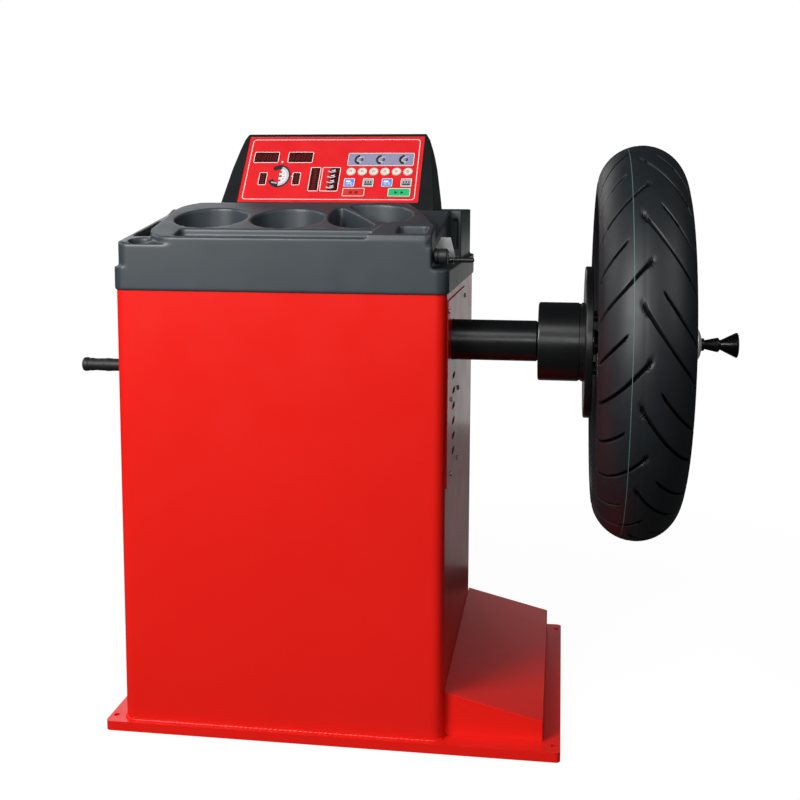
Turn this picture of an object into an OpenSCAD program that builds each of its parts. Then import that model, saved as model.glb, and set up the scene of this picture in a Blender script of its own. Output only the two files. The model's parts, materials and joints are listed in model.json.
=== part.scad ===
// Wheel balancer machine: floor-standing red cabinet, black weight tray and tilted control head,
// with a belt-driven spindle that carries a motorcycle wheel.
// Frame: +X along the spindle towards the wheel, +Y to the back, +Z up. Origin on the floor, at the
// centre of the base. Millimetres.

/* [Base] */
// Width of the base pan
base_w = 746; // [600:1:900]
// Depth of the base pan
base_d = 550; // [450:1:700]
// Height of the base pan
base_h = 16; // [10:1:40]
// Thickness of the base sheet
base_sheet = 3; // [2:0.5:6]
// Floor bolt spacing across the machine
floor_bolt_x = 726; // [560:1:880]
// Floor bolt spacing front to back
floor_bolt_y = 500; // [400:1:680]
// Floor bolt hole diameter
floor_bolt_d = 10; // [6:0.5:16]

/* [Cabinet] */
// Left face of the cabinet
cab_left = -344; // [-400:1:-250]
// Width of the cabinet
cab_w = 530; // [400:1:650]
// Front face of the cabinet
cab_front = -266; // [-320:1:-200]
// Depth of the cabinet
cab_d = 528; // [400:1:650]
// Height of the cabinet's top edge above the floor
cab_top = 766; // [650:1:900]
// Outer radius of the cabinet's upright corners
cab_r = 18; // [6:1:40]
// Thickness of the cabinet sheet
cab_sheet = 2; // [1:0.5:4]

/* [Side wing] */
// Width of the wing beyond the cabinet
wing_w = 159; // [80:1:220]
// Height of the wing above the base, at the cabinet
wing_high = 73; // [30:1:140]
// Height of the wing above the base, at its outer edge
wing_low = 34; // [15:1:80]
// How far the wing's front stands back from the cabinet's front
wing_setback = 25; // [0:1:80]

/* [Spindle] */
// Spindle axis, front to back
axis_y = -166; // [-220:1:-60]
// Spindle axis height
axis_z = 652; // [500:1:740]
// Outside diameter of the bearing tube
tube_d = 65; // [50:1:90]
// Length of tube that stands out of the cabinet
tube_out = 137.5; // [80:0.5:200]
// Diameter of the adapter hub
hub_d = 125; // [90:1:160]
// Length of the adapter hub
hub_len = 72; // [30:1:120]
// Diameter of the flange disc
flange_d = 240; // [160:1:300]
// Thickness of the flange disc
flange_t = 12; // [6:0.5:20]
// Diameter of the clamping shaft
clamp_shaft_d = 14; // [10:1:20]

/* [Wheel] */
// Middle plane of the wheel
wheel_x = 478; // [460:1:520]
// Outside diameter of the tyre
tyre_d = 616; // [560:1:660]
// Section width of the tyre
tyre_w = 134; // [110:1:150]
// Bead seat diameter of the rim
seat_d = 436.6; // [430:0.1:440]
// Rim width between the flanges
rim_w = 101.6; // [80:0.1:110]

/* [Weight tray] */
// Wall thickness of the tray and the control head
shell_t = 3; // [2:0.5:5]
// Lower edge of the tray's skirt
skirt_low = 731; // [700:1:750]
// Height of the step between skirt and upper tray
step_z = 769; // [760:1:790]
// Height of the pod's front edge
pod_front_z = 816; // [800:1:830]
// Rise of the sloped pod per millimetre of depth
pod_slope = 0.24; // [0.1:0.01:0.4]
// Height of the pod's back edge
pod_back_z = 868; // [850:1:890]
// Height of the deck under the control head
rear_deck_z = 855; // [840:1:870]
// Radius of the large weight cups
cup_r = 60; // [40:1:64]
// Height of the floor of the weight cups
cup_floor_z = 806; // [800:1:815]

/* [Control head] */
// Middle of the control head across the machine
head_x = -68; // [-120:1:-20]
// Width of the control head at its foot
head_w = 395; // [360:1:460]
// Height of the control head's top
head_top = 996; // [940:1:1040]
// Width of the keypad
keypad_w = 335; // [280:1:360]
// Height of the keypad along its slope
keypad_h = 158; // [120:1:180]
// Lean of the keypad from upright, in degrees
keypad_lean = 39.7; // [20:0.1:60]
// Travel of the keys
key_travel = 0.8; // [0.4:0.1:2]

/* [Distance gauge] */
// Gauge rod, front to back
gauge_y = -130; // [-160:1:-100]
// Gauge rod height
gauge_z = 786; // [780:1:790]
// Gauge rod diameter
gauge_d = 10; // [8:0.5:14]
// Gauge knob diameter
gauge_knob_d = 24; // [16:1:30]

/* [Storage peg] */
// Storage peg, front to back
peg_y = -136; // [-200:1:0]
// Storage peg height
peg_z = 591; // [500:1:700]
// Length of the peg beyond the cabinet
peg_len = 109; // [60:1:160]

/* [Hidden] */
$fn = 64;
fit = 0.05;
gap = 0.3;
cab_right = cab_left + cab_w;
cab_back = cab_front + cab_d;
wing_right = cab_right + wing_w;
wing_front = cab_front + wing_setback;
tube_end = cab_right + tube_out;
tube_start = -130;
hub_start = tube_end + 1;
flange_start = hub_start + hub_len;
flange_end = flange_start + flange_t;
shaft_r = 12.5;
clamp_r = clamp_shaft_d / 2;
nut_start = 577;
bearing_r = 26;
bearing_w = 15;
pulley_x = -185;
pulley_w = 20;
pulley_r = 75;
motor_z = 380;
motor_pulley_r = 20;
motor_shaft_r = 7;
column_x0 = -110;
column_x1 = 150;
column_y0 = -236;
column_y1 = -60;
column_top = 560;
carriage_z = 606;
carriage_t = 12;
tray_lap = 3;
tray_x0 = cab_left - tray_lap;
tray_x1 = cab_right + tray_lap;
tray_y0 = cab_front - tray_lap;
tray_y1 = cab_back + tray_lap;
tray_r = cab_r + tray_lap;
upper_inset = 7;
pod_x0 = -296;
pod_x1 = 160;
pod_back_y = -46;
pod_r = 52;
niche_x = 163;
niche_z = 771;
niche_back_y = 34;
plateau_rise = 6;
curve_steps = 5;
head_front_y = 59;
head_back_y = 206;
keypad_x = -66.5;
keypad_y = 64;
keypad_z = 868.6;
keypad_t = 1.6;
gauge_r = gauge_d / 2;
hub_half = 54;
wheel_bearing_r = 21;
wheel_bearing_w = 12;
seat_r = seat_d / 2;
rim_half = rim_w / 2;
screw_hole_r = 2.75;
rocker_pin_r = 2;
rocker_z = 310;
rocker_y = cab_back - 6;
cover_x = cab_right;
cover_t = 2;
door_x0 = -334;
door_x1 = 74;
door_z0 = 65;
door_z1 = 715;

// ---- shared shapes ----

module round_box(x0, x1, y0, y1, z0, z1, r) {
  translate([0, 0, z0]) linear_extrude(z1 - z0) {
    translate([x0 + r, y0]) square([x1 - x0 - 2 * r, y1 - y0]);
    translate([x0, y0 + r]) square([x1 - x0, y1 - y0 - 2 * r]);
    for (x = [x0 + r, x1 - r]) {
      for (y = [y0 + r, y1 - r]) translate([x, y]) circle(r);
    }
  }
}

module box(x0, x1, y0, y1, z0, z1) {
  translate([x0, y0, z0]) cube([x1 - x0, y1 - y0, z1 - z0]);
}

// A round bar along X, centred on (y, z)
module bar_x(x0, x1, r, y, z) {
  translate([x0, y, z]) rotate([0, 90, 0]) cylinder(r = r, h = x1 - x0);
}

// A round bar along Y, centred on (x, z)
module bar_y(y0, y1, r, x, z) {
  translate([x, y0, z]) rotate([-90, 0, 0]) cylinder(r = r, h = y1 - y0);
}

// A body of revolution about a line along X, from points [radius, distance along X]
module turned_x(points, y, z) {
  translate([0, y, z]) rotate([0, 90, 0]) rotate([0, 0, 17]) rotate_extrude() polygon(points);
}

// A shape drawn in the Y-Z plane, extruded along X
module side_cut(x0, x1) {
  translate([x0, 0, 0]) rotate([90, 0, 90]) linear_extrude(x1 - x0) children();
}

// A shape drawn in the X-Z plane, extruded along Y
module front_cut(y0, y1) {
  translate([0, y1, 0]) rotate([90, 0, 0]) linear_extrude(y1 - y0) children();
}

// Places children on the keypad's face: X across, Y up the slope, Z outwards
module on_keypad() {
  translate([keypad_x, keypad_y, keypad_z]) rotate([90 - keypad_lean, 0, 0]) children();
}

// ---- base and cabinet ----

module base_pan() {
  boss_r = 9;
  color([0.75, 0.08, 0.06]) difference() {
    union() {
      difference() {
        round_box(-base_w / 2, base_w / 2, -base_d / 2, base_d / 2, 0, base_h, 8);
        round_box(-base_w / 2 + base_sheet, base_w / 2 - base_sheet, -base_d / 2 + base_sheet,
          base_d / 2 - base_sheet, -1, base_h - base_sheet, 5);
      }
      for (x = [-1, 1] * floor_bolt_x / 2) {
        for (y = [-1, 1] * floor_bolt_y / 2) {
          translate([x, y, 0]) cylinder(r = boss_r, h = base_h - 1);
        }
      }
      for (x = [-200, -60, 100]) {
        box(x, x + 4, -base_d / 2 + 1, base_d / 2 - 1, 0, base_h - 1);
      }
    }
    for (x = [-1, 1] * floor_bolt_x / 2) {
      for (y = [-1, 1] * floor_bolt_y / 2) {
        translate([x, y, -1]) cylinder(d = floor_bolt_d, h = base_h + 2);
      }
    }
  }
}

module cabinet_shell() {
  lip = 20;
  color([0.85, 0.1, 0.08]) difference() {
    round_box(cab_left, cab_right, cab_front, cab_back, base_h, cab_top, cab_r);
    round_box(cab_left + cab_sheet, cab_right - cab_sheet, cab_front + cab_sheet,
      cab_back - cab_sheet, base_h + cab_sheet, cab_top - cab_sheet, cab_r - cab_sheet);
    round_box(cab_left + lip, cab_right - lip, cab_front + lip, cab_back - lip,
      base_h - 1, cab_top + 1, 8);
    bar_x(cab_right - 30, cab_right + 1, 50, axis_y, axis_z);
    box(cab_right - 10, cab_right + 1, -180, -112, 452, 603);
    bar_x(cab_left - 1, cab_left + 10, 6, peg_y, peg_z);
    box(door_x0 + 16, door_x1 - 16, cab_back - 10, cab_back + 1, door_z0 + 16, door_z1 - 16);
    box(98, 152, cab_back - 10, cab_back + 1, 206, 342);
    screw_places() bar_x(-8, 1, screw_hole_r, 0, 0);
    door_screw_places() bar_y(-8, 1, screw_hole_r, 0, 0);
  }
}

module side_wing() {
  t = cab_sheet;
  top_in = base_h + wing_high;
  top_out = base_h + wing_low;
  color([0.8, 0.09, 0.07]) difference() {
    front_cut(wing_front, cab_back) polygon([
      [cab_right, base_h], [wing_right, base_h], [wing_right, top_out], [cab_right, top_in]
    ]);
    front_cut(wing_front + t, cab_back - t) polygon([
      [cab_right - 1, base_h - 1], [wing_right - t, base_h - 1],
      [wing_right - t, top_out - t * 1.3], [cab_right - 1, top_in - t]
    ]);
  }
}

module door_screw_places() {
  for (x = [door_x0 + 8, door_x1 - 8]) {
    for (z = [door_z0 + 40, (door_z0 + door_z1) / 2, door_z1 - 40]) {
      translate([x, cab_back, z]) children();
    }
  }
}

module rear_door() {
  color([0.8, 0.09, 0.07]) difference() {
    union() {
      box(door_x0, door_x1, cab_back, cab_back + cab_sheet, door_z0, door_z1);
      difference() {
        box(door_x0 + 17, door_x1 - 17, cab_back - 12, cab_back, door_z0 + 17, door_z1 - 17);
        box(door_x0 + 19, door_x1 - 19, cab_back - 13, cab_back + 1, door_z0 + 19,
          door_z1 - 19);
      }
    }
    for (z = [560:18:650]) {
      for (x = [-250, -110]) box(x, x + 100, cab_back - 1, cab_back + 3, z, z + 6);
    }
    door_screw_places() bar_y(-1, 3, screw_hole_r, 0, 0);
  }
}

module screw_places() {
  for (y = [-187, -70]) {
    for (z = [435, 557]) translate([cover_x, y, z]) children();
  }
  for (y = [-236, 54]) translate([cover_x, y, 704]) children();
}

module spindle_cover() {
  slot_w = 50;
  slot_h = 10;
  color([0.8, 0.09, 0.07]) difference() {
    box(cover_x, cover_x + cover_t, -246, 64, 425, 720);
    bar_x(cover_x - 1, cover_x + cover_t + 1, tube_d / 2 + 1, axis_y, axis_z);
    for (i = [0:5]) {
      side_cut(cover_x - 1, cover_x + cover_t + 1) translate([-146, 465 + 25 * i]) polygon([
        [-slot_w / 2, 0], [-slot_w / 2 + 10, -slot_h / 2], [slot_w / 2 - 10, -slot_h / 2],
        [slot_w / 2, 0], [slot_w / 2 - 10, slot_h / 2], [-slot_w / 2 + 10, slot_h / 2]
      ]);
    }
    screw_places() bar_x(-1, cover_t + 1, screw_hole_r, 0, 0);
  }
}

// Pan head screw along Z: the head stands on z = 0, the shank goes down
module pan_screw(shank) {
  cylinder(r1 = 4.5, r2 = 3.2, h = 2.6);
  translate([0, 0, -shank]) cylinder(r = 2.5, h = shank);
}

module panel_screws() {
  color([0.85, 0.85, 0.83]) {
    screw_places() translate([cover_t, 0, 0]) rotate([0, 90, 0]) pan_screw(10);
    door_screw_places() translate([0, cab_sheet, 0]) rotate([-90, 0, 0]) pan_screw(10);
  }
}

// ---- spindle support inside the cabinet ----

module inner_column() {
  t = 4;
  color([0.25, 0.26, 0.28]) difference() {
    union() {
      box(column_x0, column_x1, column_y0, column_y0 + t, base_h, column_top);
      box(column_x0, column_x0 + t, column_y0, column_y1, base_h, column_top);
      box(column_x1 - t, column_x1, column_y0, column_y1, base_h, column_top);
      box(column_x0, column_x1, column_y0, column_y1, column_top - 8, column_top);
      box(column_x0 - 30, column_x1 + 14, column_y0, column_y1, base_h, base_h + t);
      box(column_x0, column_x0 + t, -80, column_y1, column_top, 664);
      box(-222, column_x0, -80, -76, 640, 664);
    }
    bar_x(column_x0 - 1, column_x0 + t + 1, 20, axis_y, motor_z);
    for (x = [column_x0 - 18, column_x1 + 7]) {
      for (y = [-210, -90]) translate([x, y, base_h - 1]) cylinder(r = 4, h = 8);
    }
  }
}

module flex_plates() {
  color([0.6, 0.62, 0.66]) {
    for (x = [-86, 122]) box(x, x + 4, -206, -126, column_top, carriage_z);
  }
}

module force_sensors() {
  color([0.72, 0.6, 0.3]) {
    for (x = [-50, 86]) {
      translate([x, axis_y, column_top]) {
        cylinder(r = 16, h = 8);
        translate([0, 0, 8]) cylinder(r = 12, h = 30);
        translate([0, 0, 38]) cylinder(r = 16, h = 8);
      }
    }
  }
}

module spindle_carriage() {
  color([0.25, 0.26, 0.28]) difference() {
    union() {
      box(-110, 150, -206, -126, carriage_z, carriage_z + carriage_t);
      for (x = [-98, 108]) box(x, x + 30, -206, -126, carriage_z + carriage_t, 692);
    }
    bar_x(-120, 160, tube_d / 2, axis_y, axis_z);
  }
}

module spindle_tube() {
  r = tube_d / 2;
  color([0.05, 0.05, 0.05]) difference() {
    turned_x([
      [0, tube_start], [r, tube_start], [r, tube_end - 2], [r - 2, tube_end], [0, tube_end]
    ], axis_y, axis_z);
    bar_x(tube_start - 1, tube_start + bearing_w + 3, bearing_r, axis_y, axis_z);
    bar_x(tube_end - bearing_w - 3, tube_end + 1, bearing_r, axis_y, axis_z);
    bar_x(tube_start, tube_end, bearing_r - 3, axis_y, axis_z);
  }
}

module bearing_x(x, inner_r, outer_r, width) {
  ball_r = (outer_r - inner_r) * 0.24;
  mid_r = (outer_r + inner_r) / 2;
  ring_t = (outer_r - inner_r) * 0.3;
  groove_r = ball_r + 0.02;
  translate([x, axis_y, axis_z]) rotate([0, 90, 0]) {
    difference() {
      cylinder(r = outer_r, h = width);
      translate([0, 0, -1]) cylinder(r = outer_r - ring_t, h = width + 2);
      translate([0, 0, width / 2]) rotate_extrude() translate([mid_r, 0]) circle(groove_r);
    }
    difference() {
      cylinder(r = inner_r + ring_t, h = width);
      translate([0, 0, -1]) cylinder(r = inner_r, h = width + 2);
      translate([0, 0, width / 2]) rotate_extrude() translate([mid_r, 0]) circle(groove_r);
    }
    for (i = [0:8]) {
      rotate([0, 0, 40 * i]) translate([mid_r, 0, width / 2]) sphere(ball_r);
    }
  }
}

module spindle_bearings() {
  color([0.7, 0.71, 0.73]) {
    bearing_x(tube_start + 3, shaft_r, bearing_r, bearing_w);
    bearing_x(tube_end - bearing_w - 3, shaft_r, bearing_r, bearing_w);
  }
}

module spindle_shaft() {
  r = shaft_r - fit;
  b0 = tube_start + bearing_w + 3 + gap;
  b1 = tube_end - bearing_w - 3 - gap;
  color([0.55, 0.56, 0.58]) turned_x([
    [0, -212], [r - 1, -212], [r, -211], [r, b0], [r + 5, b0 + 1], [r + 5, b1 - 1],
    [r, b1], [r, 345], [0, 345]
  ], axis_y, axis_z);
}

module spindle_pulley() {
  r = pulley_r;
  w = pulley_w;
  color([0.4, 0.41, 0.43]) difference() {
    turned_x([
      [shaft_r - fit, pulley_x - 6], [24, pulley_x - 6], [24, pulley_x + 7],
      [62, pulley_x + 7], [62, pulley_x], [r + 4, pulley_x], [r + 4, pulley_x + 1.5],
      [r, pulley_x + 1.5], [r, pulley_x + w - 1.5], [r + 4, pulley_x + w - 1.5],
      [r + 4, pulley_x + w], [62, pulley_x + w], [62, pulley_x + 13], [24, pulley_x + 13],
      [24, pulley_x + w], [shaft_r - fit, pulley_x + w]
    ], axis_y, axis_z);
    for (a = [0:60:300]) {
      translate([pulley_x, axis_y, axis_z]) rotate([a, 0, 0]) translate([0, 43, 0])
        rotate([0, 90, 0]) cylinder(r = 12, h = w);
    }
  }
}

module drive_belt() {
  x0 = pulley_x + 2.5;
  thick = 3.2;
  color([0.06, 0.06, 0.06]) side_cut(x0, x0 + pulley_w - 5) difference() {
    hull() {
      translate([axis_y, axis_z]) circle(pulley_r + gap + thick);
      translate([axis_y, motor_z]) circle(motor_pulley_r + gap + thick);
    }
    hull() {
      translate([axis_y, axis_z]) circle(pulley_r + gap);
      translate([axis_y, motor_z]) circle(motor_pulley_r + gap);
    }
  }
}

module drive_motor() {
  color([0.2, 0.22, 0.26]) difference() {
    union() {
      turned_x([
        [0, -98], [18, -98], [18, -94], [50, -94], [55, -89], [55, -76], [52, -76],
        [52, 32], [55, 32], [55, 44], [50, 50], [0, 50]
      ], axis_y, motor_z);
      for (a = [0:15:345]) {
        translate([0, axis_y, motor_z]) rotate([a, 0, 0]) box(-74, 30, 50, 56, -1.2, 1.2);
      }
      box(-50, 10, axis_y + 44, axis_y + 78, motor_z - 25, motor_z + 25);
    }
    bar_x(-99, -60, motor_shaft_r + fit, axis_y, motor_z);
  }
}

module motor_bracket() {
  color([0.25, 0.26, 0.28]) difference() {
    union() {
      box(-106, -98, column_y0 + 4, -106, motor_z - 65, motor_z + 65);
      box(-98, 40, column_y0 + 4, column_y0 + 10, motor_z - 65, motor_z + 65);
    }
    bar_x(-110, -90, 20, axis_y, motor_z);
  }
}

module motor_rotor() {
  color([0.6, 0.61, 0.63]) turned_x([
    [0, -190], [motor_shaft_r - 1, -190], [motor_shaft_r, -189], [motor_shaft_r, -61],
    [0, -61]
  ], axis_y, motor_z);
}

module motor_pulley() {
  r = motor_pulley_r;
  w = pulley_w;
  color([0.4, 0.41, 0.43]) turned_x([
    [motor_shaft_r, pulley_x], [r + 3, pulley_x], [r + 3, pulley_x + 1.5],
    [r, pulley_x + 1.5], [r, pulley_x + w - 1.5], [r + 3, pulley_x + w - 1.5],
    [r + 3, pulley_x + w], [14, pulley_x + w], [14, pulley_x + w + 10],
    [motor_shaft_r, pulley_x + w + 10]
  ], axis_y, motor_z);
}

module encoder_disc() {
  r = 56;
  color([0.1, 0.1, 0.1]) difference() {
    union() {
      bar_x(-206, -203.5, r, axis_y, axis_z);
      bar_x(-208, -194, 20, axis_y, axis_z);
    }
    bar_x(-215, -190, shaft_r - fit, axis_y, axis_z);
    for (a = [0:10:350]) {
      translate([0, axis_y, axis_z]) rotate([a, 0, 0]) box(-207, -203, 46, 53, -1.5, 1.5);
    }
  }
}

module encoder_sensor() {
  color([0.08, 0.1, 0.12]) difference() {
    box(-214, -194, -122, -80, 644, 660);
    box(-209, -200.5, -123, -100, 643, 661);
  }
}

// ---- electrics ----

module control_board() {
  x = -336;
  color([0.05, 0.3, 0.15]) {
    box(x, x + 1.6, -60, 140, 460, 640);
    for (z = [480, 530, 580]) box(x + 1.6, x + 12, -40, -10, z, z + 34);
    for (y = [10, 40, 70, 100]) {
      translate([x + 1.6, y, 610]) rotate([0, 90, 0]) cylinder(r = 9, h = 22);
    }
    box(x + 1.6, x + 5, 20, 60, 510, 550);
    box(x + 1.6, x + 14, 100, 134, 470, 590);
    for (y = [-52, 132]) {
      for (z = [468, 632]) bar_x(-342, x, 3, y, z);
    }
  }
}

module power_supply() {
  color([0.62, 0.5, 0.2]) {
    box(-320, -180, 60, 200, base_h, base_h + 3);
    translate([-250, 130, base_h + 3]) {
      difference() {
        cylinder(r = 52, h = 46);
        translate([0, 0, -1]) cylinder(r = 18, h = 48);
      }
      cylinder(r = 6, h = 52);
      translate([0, 0, 46]) cylinder(r = 34, h = 2);
    }
  }
}

module power_inlet() {
  y = cab_back;
  color([0.06, 0.06, 0.06]) {
    difference() {
      union() {
        box(92, 158, y, y + 3, 198, 350);
        box(99, 151, y - 40, y, 207, 341);
      }
      box(102, 148, y - 25, y + 4, 214, 262);
      box(112, 138, y - 22, y + 4, 290, 330);
      bar_x(109, 141, rocker_pin_r + fit, rocker_y, rocker_z);
    }
    for (x = [118, 132]) box(x - 1, x + 1, y - 26, y - 8, 234, 242);
    box(124, 126, y - 26, y - 8, 244, 252);
  }
}

module power_rocker() {
  color([0.8, 0.1, 0.08]) translate([125, rocker_y, rocker_z]) {
    rotate([0, -90, 0]) translate([0, 0, -12]) linear_extrude(24)
      polygon([[-16, -8], [16, -8], [16, 5], [0, 8], [-16, 14]]);
    bar_x(-15.5, 15.5, rocker_pin_r, 0, 0);
  }
}

// ---- storage peg ----

module peg_stud() {
  color([0.7, 0.71, 0.73]) {
    bar_x(cab_left - peg_len + 8, cab_left + 14, 5, peg_y, peg_z);
    difference() {
      bar_x(cab_left + cab_sheet, cab_left + cab_sheet + 2, 11, peg_y, peg_z);
      bar_x(cab_left, cab_left + 6, 5, peg_y, peg_z);
    }
    difference() {
      translate([cab_left + 4, peg_y, peg_z]) rotate([0, 90, 0]) cylinder(r = 9, h = 8, $fn = 6);
      bar_x(cab_left, cab_left + 15, 5, peg_y, peg_z);
    }
  }
}

module peg_sleeve() {
  root = cab_left;
  tip = cab_left - peg_len;
  color([0.04, 0.04, 0.04]) difference() {
    turned_x([
      [0, tip], [9.5, tip], [12, tip + 3], [12, tip + 9], [10.6, tip + 12],
      [11.2, tip + 30], [10.4, tip + 50], [10.8, tip + 70], [10.2, tip + 90], [10.5, root],
      [0, root]
    ], peg_y, peg_z);
    bar_x(tip + 8, root + 1, 5, peg_y, peg_z);
  }
}

// ---- weight tray ----

module niche_cut(t) {
  box(niche_x - t, tray_x1 + 20, tray_y0 - 5, niche_back_y + t, niche_z - t, head_top);
}

// The tray's outer form, or with t the form moved in by the wall thickness
module tray_form(t) {
  low = t > 0 ? skirt_low - 1 : skirt_low;
  under = step_z - 10;
  back = tray_y1 - upper_inset;
  round_box(tray_x0 + t, tray_x1 - t, tray_y0 + t, tray_y1 - t, low, step_z - t, tray_r - t);
  difference() {
    union() {
      intersection() {
        round_box(tray_x0 + upper_inset + t, tray_x1 - upper_inset - t, tray_y0 + t, back - t,
          under, head_top, tray_r - t);
        side_cut(tray_x0, tray_x1) polygon([
          [tray_y0 - 1, under], [tray_y0 - 1, 804 - t], [-258, 808 - t], [-94, 834 - t],
          [-20, 846 - t], [8, rear_deck_z - t], [tray_y1, rear_deck_z - t], [tray_y1, under]
        ]);
      }
      intersection() {
        union() {
          round_box(pod_x0 + t, pod_x1 - 60, tray_y0 + t, pod_back_y - t, under, head_top,
            pod_r - t);
          pod_corner(t, under);
        }
        side_cut(tray_x0, tray_x1) pod_side(t, under);
      }
      intersection() {
        raised_corner(t, under);
        side_cut(tray_x0, tray_x1) pod_side(t - plateau_rise, under);
      }
    }
    niche_cut(t);
  }
}

// The right part of the pod, cut away along a slanting line at the back
module pod_corner(t, under) {
  translate([0, 0, under]) linear_extrude(head_top - under) polygon([
    [0, tray_y0 + t], [niche_x - t - 8, tray_y0 + t], [niche_x - t, tray_y0 + 8 + t],
    [niche_x - t, -210], [155 - t, -178], [145 - t, -142], [131 - t, -106],
    [115 - t, -76], [98 - t, pod_back_y - t], [0, pod_back_y - t]
  ]);
}

// The slightly raised corner beside the last cup
module raised_corner(t, under) {
  translate([0, 0, under]) linear_extrude(head_top - under) polygon([
    [62 + t, tray_y0 + 2 + t], [66 + t, -236], [76 + t, -206], [90 + t, -186 - t],
    [112, -181 - t], [146 - t, -184 - t], [159 - t, -196], [niche_x - t, -212],
    [niche_x - t, tray_y0 + 8 + t], [niche_x - t - 8, tray_y0 + 2 + t]
  ]);
}

module pod_side(t, under) {
  run = (pod_back_z - pod_front_z) / pod_slope;
  polygon([
    [tray_y0 - 1, under], [tray_y0 - 1, pod_front_z - t], [tray_y0 + run, pod_back_z - t],
    [pod_back_y, pod_back_z - t], [pod_back_y, under]
  ]);
}

// A point between the second and third of four points on a smooth closed curve
function curve_point(p, i, f) =
  let (n = len(p), a = p[(i + n - 1) % n], b = p[i], c = p[(i + 1) % n], d = p[(i + 2) % n])
  0.5 * (2 * b + (c - a) * f + (2 * a - 5 * b + 4 * c - d) * f * f
    + (3 * b - a - 3 * c + d) * f * f * f);

// A smooth closed curve through p, moved out by t from the point middle
function smooth_loop(p, middle, t) = [
  for (i = [0:len(p) - 1], j = [0:curve_steps - 1])
    let (q = curve_point(p, i, j / curve_steps)) q + (q - middle) / norm(q - middle) * t
];

// The weight cups, larger by t with floors lower by t: two round, one leaf, one egg shaped
module weight_cups(t) {
  for (x = [-217, -87]) {
    translate([x, -151, cup_floor_z - t]) cylinder(r = cup_r + t, h = 90);
  }
  translate([0, 0, cup_floor_z - t]) linear_extrude(90) polygon(smooth_loop([
    [-8, -83], [-21, -99], [-22, -134], [-13, -172], [10, -198], [42, -205], [61, -192],
    [49, -163], [26, -126]
  ], [10, -150], t));
  translate([0, 0, cup_floor_z - t]) linear_extrude(90) polygon(smooth_loop([
    [4, -76], [22, -106], [42, -138], [66, -163], [94, -168], [112, -144], [113, -108],
    [94, -75], [58, -60], [20, -62]
  ], [70, -110], t));
}

// Pen grooves, the small round cup and the side pocket
module small_pockets(t) {
  round_box(-246 - t, 68 + t, -261 - t, -221 + t, 815 - t, 900, 6);
  round_box(107 - t, 152 + t, -258 - t, -214 + t, 812 - t, 900, 8);
  translate([-305, -246, 792 - t]) cylinder(r = 19 + t, h = 60);
  round_box(-331 - t, -302 + t, -212 - t, -84 + t, 788 - t, 900, 6);
}

module weight_tray() {
  color([0.13, 0.14, 0.15]) difference() {
    tray_form(0);
    difference() {
      tray_form(shell_t);
      weight_cups(shell_t);
      small_pockets(shell_t);
    }
    weight_cups(0);
    small_pockets(0);
    bar_x(150, 170, 6.5, gauge_y, gauge_z);
    box(166, 175, niche_back_y - 1, niche_back_y + 5, 788, 840);
  }
}

// ---- control head ----

module head_form(t) {
  w = head_w / 2 - t;
  low = t > 0 ? rear_deck_z - 1 : rear_deck_z;
  intersection() {
    front_cut(head_front_y - 20, head_back_y + 5) translate([head_x, 0]) polygon([
      [-w, low], [-w + 1, 868], [-w + 4, 892], [-w + 9, 930], [-w + 16, 965],
      [-w + 21, 985], [-w + 27, head_top], [w - 27, head_top], [w - 21, 985], [w - 16, 965],
      [w - 9, 930], [w - 4, 892], [w - 1, 868], [w, low]
    ]);
    side_cut(head_x - w, head_x + w) head_side(t, low);
  }
}

module head_side(t, low) {
  run = tan(keypad_lean);
  back = t * 1.3;
  foot = keypad_y + (low - keypad_z) * run + back;
  top = keypad_y + (head_top - 3 - keypad_z) * run + back;
  polygon([
    [foot, low], [top, head_top - 3 - t / 2], [top + 4 - back, head_top - t],
    [top + 14 - back, head_top - t], [head_back_y - t, 952 - t], [head_back_y - t, low]
  ]);
}

module display_housing() {
  vent_x = head_x - 60;
  color([0.06, 0.06, 0.07]) difference() {
    head_form(0);
    head_form(shell_t);
    on_keypad() {
      translate([-keypad_w / 2 - gap, -gap, -1])
        cube([keypad_w + 2 * gap, keypad_h + 2 * gap, 5]);
      translate([-155, 8, -8]) cube([310, keypad_h - 16, 10]);
    }
    box(head_x - 170, head_x + 170, head_back_y - 5, head_back_y + 1, 864, 940);
    for (i = [0:5]) box(vent_x + 20 * i, vent_x + 20 * i + 12, 180, 200, 940, 1000);
  }
}

module display_back() {
  color([0.06, 0.06, 0.07]) difference() {
    box(head_x - 176, head_x + 176, head_back_y, head_back_y + 2, 859, 946);
    for (i = [0:7]) box(head_x - 100 + 26 * i, head_x - 86 + 26 * i, head_back_y - 1,
      head_back_y + 3, 880, 925);
  }
}

// Centres of the round keys, square keys and the stop and start keys on the keypad
round_u = [for (i = [0:5]) 37.2 + 21.2 * i];
round_v = 71.7;
square_u = [for (i = [0:3]) 36.6 + 35.2 * i];
square_v = 45.3;
square_size = [20, 19];
bar_key_u = [47, 131];
bar_key_v = 22.2;
bar_key_size = [41, 19];

module rect_at(u, v, w, h, z0, z1) {
  translate([u - w / 2, v - h / 2, z0]) cube([w, h, z1 - z0]);
}

module key_holes(grow) {
  for (u = round_u) translate([u, round_v, -3]) cylinder(r = 8.6 + grow, h = 6);
  for (u = square_u) {
    rect_at(u, square_v, square_size[0] + 2 * grow, square_size[1] + 2 * grow, -3, 3);
  }
  for (u = bar_key_u) {
    rect_at(u, bar_key_v, bar_key_size[0] + 2 * grow, bar_key_size[1] + 2 * grow, -3, 3);
  }
}

module keypad_panel() {
  color([0.75, 0.05, 0.07]) on_keypad() difference() {
    translate([-keypad_w / 2, 0, -1]) cube([keypad_w, keypad_h, keypad_t]);
    key_holes(gap);
  }
}

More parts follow.
